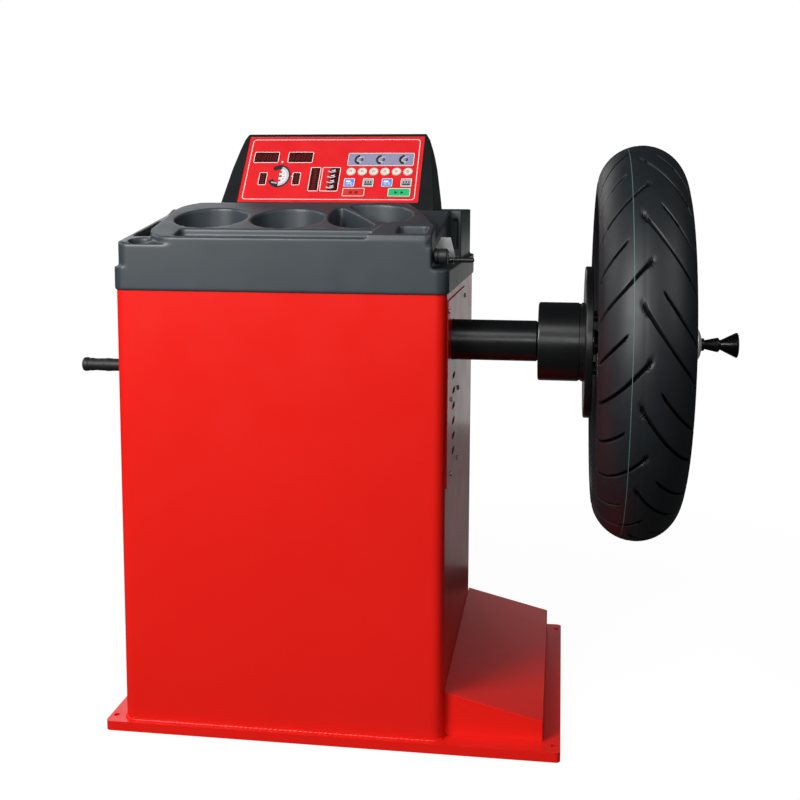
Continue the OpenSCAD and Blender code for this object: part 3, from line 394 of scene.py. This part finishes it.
def ring(build, outer, inner, low, high, ink):
    """A thin printed frame between two outlines of equal count."""
    loops = [[on_pad(u, v, low) for u, v in outer], [on_pad(u, v, high) for u, v in outer],
             [on_pad(u, v, high) for u, v in inner], [on_pad(u, v, low) for u, v in inner]]
    build.loops(loops, INK_INDEX[ink], closed=True)


def frame_line(build, u, v, width, height, radius, line, low, high, ink):
    """A thin printed line round a rounded rectangle."""
    ring(build, rounded(u, v, width, height, radius),
         rounded(u, v, width - 2 * line, height - 2 * line, max(radius - line, 0.2)),
         low, high, ink)


def bar(build, u0, v0, u1, v1, width, low, high, ink):
    """A printed stroke from one point to another."""
    along = Vector((u1 - u0, v1 - v0)).normalized() * (width / 2)
    side = Vector((-along.y, along.x))
    corners = [(u0 + side.x, v0 + side.y), (u0 - side.x, v0 - side.y),
               (u1 - side.x, v1 - side.y), (u1 + side.x, v1 + side.y)]
    plate(build, corners, low, high, ink)


def digit(build, u, v, width, height, line, low, high, ink):
    """The seven bars of one unlit figure, leaning a little."""
    lean = 0.12
    half_w, half_h = width / 2, height / 2
    gap = line * 0.65

    def place(a, b):
        return u + a + lean * b, v + b

    for b in (-half_h, 0.0, half_h):
        bar(build, *place(-half_w + gap, b), *place(half_w - gap, b), line, low, high, ink)
    for a in (-half_w, half_w):
        for b in (-half_h, 0.0):
            bar(build, *place(a, b + gap), *place(a, b + half_h - gap), line, low, high, ink)


def arc_band(build, u, v, inner, outer, start, end, low, high, ink, squeeze=1.0, count=20):
    """A printed part of a ring, squeezed across by a factor."""
    out = circle(0, 0, outer, count, start, end)
    back = circle(0, 0, inner, count, end, start)
    outline = [(u + a * squeeze, v + b) for a, b in out + back]
    points = [on_pad(a, b, height) for height in (low, high) for a, b in outline]
    n = len(outline)
    faces = []
    for i in range(count - 1):
        j = n - 1 - i
        faces.append((i, i + 1, j - 1, j))
        faces.append((n + i, n + i + 1, n + j - 1, n + j))
    for i in range(n):
        k = (i + 1) % n
        faces.append((i, k, n + k, n + i))
    build.add(points, faces, INK_INDEX[ink])


def make_keypad_print():
    """The face's frames, dim figures, light bars and pictures, placed in mm on the panel."""
    build = Build()
    base, film = PANEL_TOP, PANEL_TOP + FILM
    line, segment = WINDOW_TOP + LINE, WINDOW_TOP + SEGMENT
    section, thin = WINDOW_TOP + SECTION, WINDOW_TOP + THIN
    frame_line(build, 0, 78.5, 321, 146, 7, 1.3, base, film, "white_ink")
    for u in (-128.3, -62.8):
        # The red film laps over the ends of the window up to its printed frame
        ring(build, rounded(u, 106.7, 52.0, 25.0, 1.6), rounded(u, 106.7, 47.0, 24.0, 1.6), base,
             segment, "film_red_ink")
        frame_line(build, u, 106.7, 48.2, 26.6, 2.6, 1.2, base, line, "white_ink")
        for k in range(4):
            digit(build, u - 15.6 + 10.4 * k, 106.7, 5.6, 13.0, 1.4, WINDOW_TOP, segment,
                  "segment_red")
    for u in (-128.0, -64.3):
        frame_line(build, u, 54.5, 15.4, 30.4, 2.0, 1.2, base, line, "white_ink")
        for k in range(5):
            v = 45.3 + 4.6 * k
            bar(build, u - 3.4, v, u + 3.4, v, 2.2, WINDOW_TOP, segment, "segment_red")
    for u, width in ((-29.8, 19.4), (0.0, 34.4)):
        frame_line(build, u, 53.6, width, 57.4, 2.4, 1.3, base, line, "white_ink")
    for k in range(10):
        v = 31.4 + 4.95 * k
        bar(build, -33.5, v, -26.1, v, 2.8, WINDOW_TOP, segment, "segment_red")
    # Four small rim sections stand one above another in the box beside the light bar
    plate(build, rounded(-9.6, 53.6, 12.4, 54.6, 0.6), WINDOW_TOP, thin, "film_red_ink")
    for k in range(4):
        v = 35.0 + 12.6 * k
        bar(build, -3.4, v + 1.5, 1.6, v + 1.5, 11.6, WINDOW_TOP, thin, "dark_red_ink")
        arc_band(build, 1.0, v + 4.0, 5.0, 7.6, -0.82 * math.pi, -0.16 * math.pi, WINDOW_TOP,
                 section, "silver_ink", 1.25)
        arc_band(build, 3.0, v + 5.0, 2.2, 4.0, -0.70 * math.pi, -0.05 * math.pi, WINDOW_TOP,
                 section, "white_ink", 1.2)
    # The lilac strip with three rim sections
    frame_line(build, 90, 101.6, 124.0, 31.0, 3.0, 1.3, base, line, "white_ink")
    low, high = WINDOW_TOP + MARK, line
    plate(build, rounded(90, 101.6, 120.6, 27.6, 2.0), WINDOW_TOP, low, "lilac_ink")
    for u in (49.8, 90.3, 133.4):
        arc_band(build, u + 1.5, 101.0, 6.4, 11.8, 0.55 * math.pi, 1.45 * math.pi, low, high,
                 "black_ink", 0.95)
        arc_band(build, u + 1.0, 101.0, 4.2, 7.2, 0.35 * math.pi, 1.65 * math.pi, low, high,
                 "silver_ink")
        arc_band(build, u + 4.4, 101.0, 0.8, 3.4, -0.9 * math.pi, 0.9 * math.pi, low, high,
                 "black_ink", 0.8)
        bar(build, u + 4, 107.0, u + 8.5, 109.2, 1.2, low, high, "silver_ink")
    # The cut-open wheel in the middle of the left half: tyre, rim face, spokes and hub
    u, v = -98.7, 61.0
    for inner, outer, start, end in ((23.2, 27.0, -0.56, 0.44), (17.0, 27.0, 0.42, 0.74),
                                     (15.0, 27.0, -0.86, -0.50)):
        arc_band(build, u + 1, v, inner, outer, start * math.pi, end * math.pi, base, film,
                 "black_ink", 0.80, 22)
    arc_band(build, u + 1, v, 12.5, 23.0, -0.50 * math.pi, 0.46 * math.pi, base, film,
             "silver_ink", 0.80, 24)
    arc_band(build, u + 1, v, 14.6, 17.4, -0.46 * math.pi, 0.42 * math.pi, base, film + 0.04,
             "white_ink", 0.80, 22)
    arc_band(build, u + 1, v, 1.5, 8.0, -0.52 * math.pi, 0.52 * math.pi, base, film,
             "white_ink", 1.0, 18)
    for turn in (-62, -22, 18, 58):
        a = math.radians(turn)
        bar(build, u + 4 + 4.0 * math.cos(a), v + 5.0 * math.sin(a), u + 2 + 13.0 * math.cos(a),
            v + 15.0 * math.sin(a), 3.4, base, film + 0.02, "white_ink")
    arc_band(build, u + 4, v, 0.4, 2.6, 0.001, 2 * math.pi, base, film + 0.08, "black_ink")
    bar(build, u - 12, v - 14.5, u - 1, v - 17.0, 2.6, base, film + 0.04, "silver_ink")
    for sx in (-1, 1):
        tip = u + sx * 23.0
        plate(build, [(tip, v), (tip + sx * 4, v + 2), (tip + sx * 4, v - 2)][::sx], base, film,
              "white_ink")
    plate(build, [(u + 2, v + 31.5), (u + 4.4, v + 36), (u - 0.4, v + 36)], base, film,
          "white_ink")
    build.piece("keypad_print", INKS, "machine", "keypad_film", smooth=False)


def make_key_marks():
    """The print on the key caps: rings, small pictures and frames, with no lettering."""
    low, high = KEY_TOP, KEY_TOP + MARK
    for i in range(6):
        build = Build()
        u, v = 37.2 + 21.2 * i, 71.7
        arc_band(build, u, v, 6.9, 8.2, 0.001, 2 * math.pi, low, high, "silver_ink", 1.0, 40)
        arc_band(build, u, v, 2.2, 3.1, 0.3 * math.pi, (1.2 + 0.12 * i) * math.pi, low, high,
                 "brown_ink", 1.0, 16)
        bar(build, u - 1.6, v + 1.4 - 0.5 * i, u + 2.6, v - 1.2 + 0.4 * i, 1.0, low, high,
            "brown_ink")
        build.piece(f"round_mark_{i + 1}", INKS, f"round_key_{i + 1}", "key_cream",
                    smooth=False)
    for i in range(4):
        build = Build()
        u, v = 36.6 + 35.2 * i, 45.3
        frame_line(build, u, v, 20.0, 19.0, 1.6, 1.2, low, high, "white_ink")
        if i % 2 == 0:
            plate(build, rounded(u - 2, v + 2.4, 9, 4.4, 1.0), low, high, "white_ink")
            bar(build, u - 6, v - 3.5, u + 1, v - 3.5, 1.4, low, high, "white_ink")
            arc_band(build, u + 4.4, v - 2.6, 1.2, 2.5, 0.5, 5.6, low, high, "white_ink")
        else:
            bar(build, u - 7, v - 4.2, u + 7, v - 4.2, 3.0, low, high, "black_ink")
            for k in range(3):
                bar(build, u - 5 + 5 * k, v - 1.6, u - 5 + 5 * k, v + 3.4, 2.2, low, high,
                    "black_ink")
        build.piece(f"square_mark_{i + 1}", INKS, f"square_key_{i + 1}", "key_blue",
                    smooth=False)
    for name, u, slot in (("stop", 47.0, "key_red"), ("start", 131.0, "key_green")):
        build = Build()
        v = 22.2
        frame_line(build, u, v, 41.0, 19.0, 2.4, 1.2, low, high, "white_ink")
        if name == "stop":
            for k in (-1, 1):
                plate(build, rounded(u + 5.0 * k, v - 0.5, 6.0, 6.0, 0.8), low, high,
                      "dark_red_ink")
        else:
            for k in (-1, 1):
                a = u + 5.5 * k
                plate(build, [(a - 2.6, v - 3.6), (a + 3.4, v - 0.4), (a - 2.6, v + 2.8)], low,
                      high, "black_ink")
        build.piece(f"{name}_mark", INKS, f"{name}_key", slot, smooth=False)


# ---- tyre ----

# Depths are in metres and the seam's place is a crown angle in degrees
TREAD_REPEATS = 14
ROWS_ACROSS = 99
POINTS_PER_REPEAT = 64
GROOVE_DEPTH = 0.0062
# Groove faces deeper than this take the painted shade
GROOVE_SHADE_DEPTH = 0.0022
RING_DEPTH = 0.0009
SEAM_PLACE, SEAM_DEPTH = -6.5, 0.0004


def axle(name):
    """A piece that is round about X: its box, then its axis in y and z."""
    low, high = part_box(name)
    return low, high, (low.y + high.y) / 2, (low.z + high.z) / 2


def make_tyre():
    """The tyre's skin, with its grooves pressed in and their floors in a darker, duller rubber:
    painted shade in the grooves.
    """
    low, high, centre_y, centre_z = axle("tyre")
    middle = (low.x + high.x) / 2
    half = (high.x - low.x) / 2
    hoop = (high.z - low.z) / 2 - half
    repeat = 360.0 / TREAD_REPEATS
    around = POINTS_PER_REPEAT * TREAD_REPEATS

    # How far round a groove has run, in degrees, at a crown angle counted from its start
    def left_run(u):
        return -(0.27 * u - 0.00095 * u * u)

    def right_run(u):
        return -(0.37 * u - 0.0012 * u * u)

    # Each row of the skin: its crown angle in degrees, and how far it runs along the grooves
    crown = list(np.linspace(-89, 89, ROWS_ACROSS))
    join = left_run(8.5) - right_run(8.5)
    shear = [left_run(4 - a) - join if a < -4.5 else right_run(a + 13) for a in crown]
    # More lines run near the grooves, where the surface turns sharply
    fine = np.linspace(0.0, repeat, 2001)
    busy = np.full(fine.shape, 1.0)
    for place in (29.3 + join, 29.3 + join + repeat / 2, 17.9, 17.9 + repeat / 2 - 1.6):
        near = (fine - place + repeat / 2) % repeat - repeat / 2
        busy += 3.2 * np.exp(-(near / 0.85) ** 2)
    share = np.concatenate([[0.0], np.cumsum((busy[1:] + busy[:-1]) / 2)])
    even = np.arange(POINTS_PER_REPEAT) / POINTS_PER_REPEAT
    steps = np.interp(even, share / share[-1], fine)
    steps = np.concatenate([steps + repeat * k for k in range(TREAD_REPEATS)])

    def hoop_row(along, radial, turns):
        t = np.radians(turns)
        return np.stack([along * np.ones(around), centre_y - radial * np.cos(t),
                         centre_z + radial * np.sin(t)], 1).tolist()

    # Run, first and last crown angle, place around, width at the crown and at the shoulder
    families = (
        (lambda a: left_run(4 - a), 4.0, -82.0, 29.3, 5.0, 4.2),
        (lambda a: left_run(4 - a), -27.0, -84.0, 29.3 + repeat / 2, 4.6, 4.0),
        (lambda a: right_run(a + 13), -13.0, 80.0, 17.9, 5.0, 4.2),
        (lambda a: right_run(a + 13), 13.0, 82.0, 17.9 + repeat / 2 - 1.6, 4.6, 4.0),
    )
    rows, cut = [], []
    for angle, offset in zip(crown, shear):
        a = math.radians(angle)
        turns = steps + offset
        radius_here = hoop + half * math.cos(a)
        depth = np.zeros(around)
        for run, first, last, start, wide, narrow in families:
            share = (angle - first) / (last - first)
            if not 0.0 <= share <= 1.0:
                continue
            ends = min(1.0, share / 0.06, (1.0 - share) / 0.12)
            width = (wide + (narrow - wide) * share) * MM * math.sqrt(max(ends, 0.0))
            away = (turns - start - run(angle) + repeat / 2) % repeat - repeat / 2
            slope = (run(angle + 0.5) - run(angle - 0.5)) * radius_here / half
            distance = np.abs(np.radians(away)) * radius_here / math.sqrt(1 + slope * slope)
            fade = np.clip((width / 2 + 0.0004 - distance) / 0.0012, 0.0, 1.0)
            fade = fade * fade * (3 - 2 * fade)
            depth = np.maximum(depth, fade * GROOVE_DEPTH * min(1.0, ends * 1.5))
        cut.append(depth.copy())
        depth += SEAM_DEPTH * math.exp(-((angle - SEAM_PLACE) / 1.2) ** 2)
        # Moulded rings and a fine ribbed band on the sidewalls
        side = abs(angle)
        if side > 70:
            rings = max(math.exp(-((side - s) / 0.9) ** 2) for s in (73.0, 79.5, 86.0))
            ribs = np.clip(np.sin(np.radians(turns) * 180), 0, 1) * (80.5 < side < 85.0)
            depth += RING_DEPTH * (1 - np.maximum(rings, 0.6 * ribs))
        reach = half - depth
        rows.append(hoop_row(middle + reach * math.sin(a), hoop + reach * math.cos(a), turns))
    # From the sidewall down to the rim's edge, then under it: radius, distance from the middle
    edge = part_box("wheel_rim")[1].z - centre_z
    foot = [(hoop - 0.0008, half - 0.0009), (hoop - 0.0030, half), (hoop - 0.0052, half - 0.0002),
            (edge + 0.0020, half - 0.0032), (edge + 0.0008, half - 0.0065),
            (edge + 0.0007, half - 0.0125), (edge + 0.0015, 0.050), (edge + 0.004, 0.030)]
    left = [hoop_row(middle - out, radial, steps + shear[0]) for radial, out in foot]
    right = [hoop_row(middle + out, radial, steps + shear[-1]) for radial, out in foot]
    build = Build()
    build.loops(left[::-1] + rows + right, closed=True)
    # Faces down in a groove take the darker, rougher rubber: painted shade in the grooves
    for row, (near, far) in enumerate(zip(cut, cut[1:]), len(left)):
        both = near + far
        deep = (both + np.roll(both, -1)) / 4 > GROOVE_SHADE_DEPTH
        build.slots[row * around:(row + 1) * around] = deep.astype(int).tolist()
    return build.piece("tyre_skin", [MATERIALS["tyre_rubber"], MATERIALS["groove_shade_rubber"]],
                       "spindle", "tyre_rubber")


def make_tyre_stripe():
    """The thin paint line round the crown, a little to the machine's side of the middle."""
    low, high, centre_y, centre_z = axle("tyre")
    middle, half = (low.x + high.x) / 2, (high.x - low.x) / 2
    hoop = (high.z - low.z) / 2 - half
    build = Build()
    loops = []
    for i in range(360):
        t = 2 * math.pi * i / 360
        sway = 0.25 * math.sin(3 * t) + 0.15 * math.sin(7 * t)
        loop = []
        for angle, lift in ((-20.5, -0.0002), (-20.5, 0.00012), (-19.7, 0.00012),
                            (-19.7, -0.0002)):
            a = math.radians(angle + sway)
            reach = half + lift - 0.0001
            radial = hoop + reach * math.cos(a)
            loop.append((middle + reach * math.sin(a), centre_y - radial * math.cos(t),
                         centre_z + radial * math.sin(t)))
        loops.append(loop)
    build.loops(loops, closed=True)
    build.piece("tyre_stripe", [INK["teal_paint"]], "spindle", "tyre_rubber", smooth=False)


# ---- weight tray ----

def block(build, x0, x1, y0, y1, z0, z1, radius=2.0):
    """An upright block with rounded corners, in mm."""
    outline = rounded((x0 + x1) / 2, (y0 + y1) / 2, x1 - x0, y1 - y0, radius)
    build.loops([[(x * MM, y * MM, z * MM) for x, y in outline] for z in (z0, z1)])


def make_tray():
    """The moulded tray with soft edges: the CAD form, filled below and rounded all over."""
    low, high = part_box("weight_tray")
    x0, y0, z0 = (v / MM for v in low)
    x1, y1 = (v / MM for v in high.xy)
    build = Build()
    source = frame["nodes"]["weight_tray"].data
    build.add([tuple(v.co) for v in source.vertices], [tuple(p.vertices) for p in source.polygons])
    # Blocks fill the hollow below the tray's skin, in mm, and leave the gauge rod's channel
    # free. Each stays inside the skin: wall and skirt, then the pod's floors from front to back
    wall, corner = 1.5, 20.0
    skirt_top, deck, floor, rear_deck, head_deck = z0 + 35, 786, 804, 837, 851
    left, right, front, back = x0 + 8.5, x1 - 32, y0 + wall, y1 - 9
    rod_front, rod_back, rod_end = -143, -117, -152
    pod_left, pod_back, rear_step = -280, -48, 36
    block(build, x0 + wall, x1 - wall, y0 + wall, y1 - wall, z0 + 1, skirt_top + 1.5, corner)
    for a, b in ((front, rod_front), (rod_back, back)):
        block(build, left, right, a, b, skirt_top, deck, corner)
    for a, b in ((front, rod_front), (rod_back, pod_back)):
        block(build, pod_left, right, a, b, deck - 3, floor)
    block(build, left, right, pod_back, back, deck - 3, rear_deck, corner)
    block(build, right - 40, x1 - 8.5, rear_step, back, skirt_top, head_deck, corner)
    block(build, left, rod_end, rod_front - 1, rod_back + 1, skirt_top, deck)
    block(build, rod_end - 3, right, rod_front - 1, rod_back + 1, floor - 7, floor)
    tray = build.piece("tray_shell", [MATERIALS["tray_plastic"]], "machine", "tray_plastic")
    modifier(tray, "REMESH", mode="VOXEL", voxel_size=0.0018, adaptivity=0.0,
             use_smooth_shade=True)
    modifier(tray, "SMOOTH", factor=0.5, iterations=9)
    modifier(tray, "DECIMATE", ratio=0.35)
    apply_modifiers(tray)
    for polygon in tray.data.polygons:
        polygon.use_smooth = True
        polygon.material_index = 0
    if not tray.data.materials:
        tray.data.materials.append(MATERIALS["tray_plastic"])
    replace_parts(tray, "weight_tray")


# ---- smaller pieces ----

def make_peg_sleeve():
    """The peg's rubber sleeve: a knob at its tip, then a slightly wavy grip."""
    low, high, centre_y, centre_z = axle("peg_sleeve")
    length = high.x - low.x
    outer = (high.z - low.z) / 2
    # Shares of the length and of the outer radius, from the tip
    knob_end, count = 0.115, 64
    profile = [(0.0, 0.55), (0.004, 0.80), (0.012, 0.93), (0.028, 1.0), (0.075, 1.0),
               (0.098, 0.93), (knob_end, 0.87)]
    for i in range(1, count + 1):
        s = knob_end + (1.0 - knob_end) * i / count
        wave = 0.90 + 0.035 * math.sin(s * 19.0) + 0.012 * math.sin(s * 47.0 + 1.0)
        profile.append((s, min(wave, 0.97)))
    profile.append((1.0, 0.5))
    build = Build()
    build.loops([[(low.x + s * length, y, z)
                  for y, z in circle(centre_y, centre_z, outer * share, 40)]
                 for s, share in profile])
    piece = build.piece("peg_grip", [MATERIALS["grip_rubber"]], "machine", "grip_rubber")
    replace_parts(piece, "peg_sleeve")


def make_weld_bead():
    """The welded and painted joint where the cabinet stands on the base."""
    low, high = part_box("cabinet_shell")
    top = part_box("base_pan")[1].z
    corner, pitch = 0.018, 0.0025
    outline = rounded((low.x + high.x) / 2, (low.y + high.y) / 2, high.x - low.x, high.y - low.y,
                      corner, 9)
    path = []
    for a, b in zip(outline, outline[1:] + outline[:1]):
        steps = max(1, int(math.dist(a, b) / pitch))
        path += [(a[0] + (b[0] - a[0]) * k / steps, a[1] + (b[1] - a[1]) * k / steps)
                 for k in range(steps)]
    build = Build()
    loops = []
    count = len(path)
    for i, (x, y) in enumerate(path):
        before, after = path[i - 1], path[(i + 1) % count]
        along = Vector((after[0] - before[0], after[1] - before[1])).normalized()
        side = Vector((along.y, -along.x))
        # The bead's size ripples quickly and wanders slowly
        size = (0.0021 + 0.00035 * math.sin(i * 1.9)
                + 0.0003 * math.sin(i * 0.23) * math.cos(i * 0.071))
        loop = []
        for k in range(9):
            turn = math.radians(-20 + 130 * k / 8)
            reach = size * (1.0 + 0.25 * math.sin(math.radians(180 * k / 8)))
            out, rise = math.cos(turn) * reach * 1.1, math.sin(turn) * reach * 1.3
            loop.append((x + side.x * out, y + side.y * out, top + rise))
        loop.append((x - side.x * 0.001, y - side.y * 0.001, top - 0.0008))
        loops.append(loop)
    build.loops(loops, closed=True)
    build.piece("weld_bead", [MATERIALS["red_paint"]], "machine", "red_paint")


# ---- studio ----

def make_studio():
    """A white cut-out surround: bright where the camera looks, dim for the light on the part."""
    world = bpy.data.worlds.new("studio")
    SCENE.world = world
    world.use_nodes = True
    tree = world.node_tree
    tree.nodes.clear()
    out = tree.nodes.new("ShaderNodeOutputWorld")
    seen, unseen = tree.nodes.new("ShaderNodeBackground"), tree.nodes.new("ShaderNodeBackground")
    seen.inputs["Color"].default_value = (1, 1, 1, 1)
    seen.inputs["Strength"].default_value = 1.02
    unseen.inputs["Color"].default_value = (0.93, 0.96, 1.0, 1)
    unseen.inputs["Strength"].default_value = 0.035
    rays = tree.nodes.new("ShaderNodeLightPath")
    mix = tree.nodes.new("ShaderNodeMixShader")
    tree.links.new(rays.outputs["Is Camera Ray"], mix.inputs[0])
    tree.links.new(unseen.outputs[0], mix.inputs[1])
    tree.links.new(seen.outputs[0], mix.inputs[2])
    tree.links.new(mix.outputs[0], out.inputs[0])

    floor_mat = bpy.data.materials.new("floor_white")
    floor_mat.use_nodes = True
    tree = floor_mat.node_tree
    bsdf = tree.nodes["Principled BSDF"]
    bsdf.inputs["Base Color"].default_value = (0.05, 0.05, 0.05, 1)
    bsdf.inputs["Roughness"].default_value = 0.9
    bsdf.inputs["Specular IOR Level"].default_value = 0.1
    bsdf.inputs["Emission Color"].default_value = (1, 1, 1, 1)
    rays = tree.nodes.new("ShaderNodeLightPath")
    place = tree.nodes.new("ShaderNodeTexCoord")
    far = tree.nodes.new("ShaderNodeVectorMath")
    far.operation = "LENGTH"
    tree.links.new(place.outputs["Object"], far.inputs[0])
    rise = tree.nodes.new("ShaderNodeMapRange")
    # Painted shade round the machine: the floor's glow is a trace grey near it, fading to white
    for key, value in (("From Min", 0.9), ("From Max", 2.4), ("To Min", 0.965), ("To Max", 1.0)):
        rise.inputs[key].default_value = value
    tree.links.new(far.outputs["Value"], rise.inputs["Value"])
    glow = tree.nodes.new("ShaderNodeMath")
    glow.operation = "MULTIPLY"
    tree.links.new(rays.outputs["Is Camera Ray"], glow.inputs[0])
    tree.links.new(rise.outputs["Result"], glow.inputs[1])
    tree.links.new(glow.outputs[0], bsdf.inputs["Emission Strength"])
    mesh = bpy.data.meshes.new("studio_floor")
    count, size, drop = 96, 40.0, -0.0004
    mesh.from_pydata([(x, y, drop) for x, y in circle(0.0, 0.0, size, count)], [],
                     [tuple(range(count))])
    mesh.materials.append(floor_mat)
    floor = bpy.data.objects.new("studio_floor", mesh)
    SCENE.collection.objects.link(floor)


def soft_light(name, place, target, size, power):
    """A rectangular lamp, unseen by the camera, that faces a target."""
    data = bpy.data.lights.new(name, "AREA")
    data.shape = "RECTANGLE"
    data.size, data.size_y = size
    data.energy = power
    lamp = bpy.data.objects.new(name, data)
    SCENE.collection.objects.link(lamp)
    lamp.location = place
    lamp.visible_camera = False
    lamp.rotation_euler = (Vector(target) - Vector(place)).to_track_quat("-Z", "Y").to_euler()


def make_camera():
    """The photo's viewpoint, solved from the machine's edges and corners."""
    data = bpy.data.cameras.new("camera")
    camera = bpy.data.objects.new("camera", data)
    SCENE.collection.objects.link(camera)
    data.sensor_width = 36.0
    data.lens = 51.928
    data.shift_x, data.shift_y = 0.0093, -0.0846
    data.clip_start, data.clip_end = 0.05, 100.0
    yaw, pitch, roll = (math.radians(a) for a in (8.3028, 6.9036, 0.2179))
    ahead = Vector((-math.sin(yaw) * math.cos(pitch), math.cos(yaw) * math.cos(pitch),
                    -math.sin(pitch)))
    right = Vector((math.cos(yaw), math.sin(yaw), 0.0))
    up = right.cross(ahead)
    turned_right = right * math.cos(roll) + up * math.sin(roll)
    turned_up = up * math.cos(roll) - right * math.sin(roll)
    axes = Matrix((turned_right, turned_up, -ahead)).transposed()
    camera.matrix_world = Matrix.Translation((0.35818, -2.00871, 0.88644)) @ axes.to_4x4()
    SCENE.camera = camera


# ---- put together ----

make_camera()
make_studio()
SCENE.view_settings.view_transform = "Standard"
soft_light("key", (-1.5, -2.6, 2.0), (-0.05, 0.0, 0.6), (1.2, 1.5), 112.0)
soft_light("over", (0.15, -2.1, 2.4), (0.25, -0.1, 0.7), (1.8, 0.7), 13.0)
soft_light("front_fill", (0.35, -3.0, 1.3), (0.3, 0.0, 0.65), (0.5, 0.6), 8.5)
soft_light("left", (-2.2, 0.3, 1.9), (0.45, -0.2, 0.75), (1.4, 1.4), 16.0)
soft_light("right", (2.2, -1.2, 2.0), (0.2, 0.0, 0.4), (1.2, 1.2), 13.5)
soft_light("back", (0.45, 2.4, 0.36), (0.25, 0.0, 0.5), (0.7, 0.72), 1.4)
soft_light("floor_glow", (0.55, 1.5, 0.02), (0.55, 1.5, 2.0), (0.8, 1.8), 1.0)
soft_light("rear_fill", (-1.3, 2.5, 1.7), (-0.1, 0.0, 0.5), (1.4, 1.2), 11.0)

for name, node in frame["nodes"].items():
    for material_slot in node.material_slots:
        material_slot.link = "OBJECT"
        material_slot.material = MATERIALS[NODE_SLOT[name]]

for name, width in (
    ("base_pan", 0.0012), ("side_wing", 0.0016), ("display_housing", 0.0035),
    ("adapter_hub", 0.0006), ("flange_disc", 0.0006),
    ("wheel_rim", 0.0018), ("gauge_arm", 0.0006), ("gauge_guide", 0.0006),
    ("gauge_pin", 0.0003), ("power_rocker", 0.0006), ("power_inlet", 0.0006),
    ("panel_screws", 0.0003), ("stop_key", 0.0005), ("start_key", 0.0005),
    ("square_key_1", 0.0005), ("square_key_2", 0.0005), ("square_key_3", 0.0005),
    ("square_key_4", 0.0005), ("flange_bolts", 0.0005),
):
    soften(frame["nodes"][name], width)

make_keypad_print()
make_key_marks()
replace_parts(make_tyre(), "tyre")
make_tyre_stripe()
make_tray()
make_peg_sleeve()
make_weld_bead()
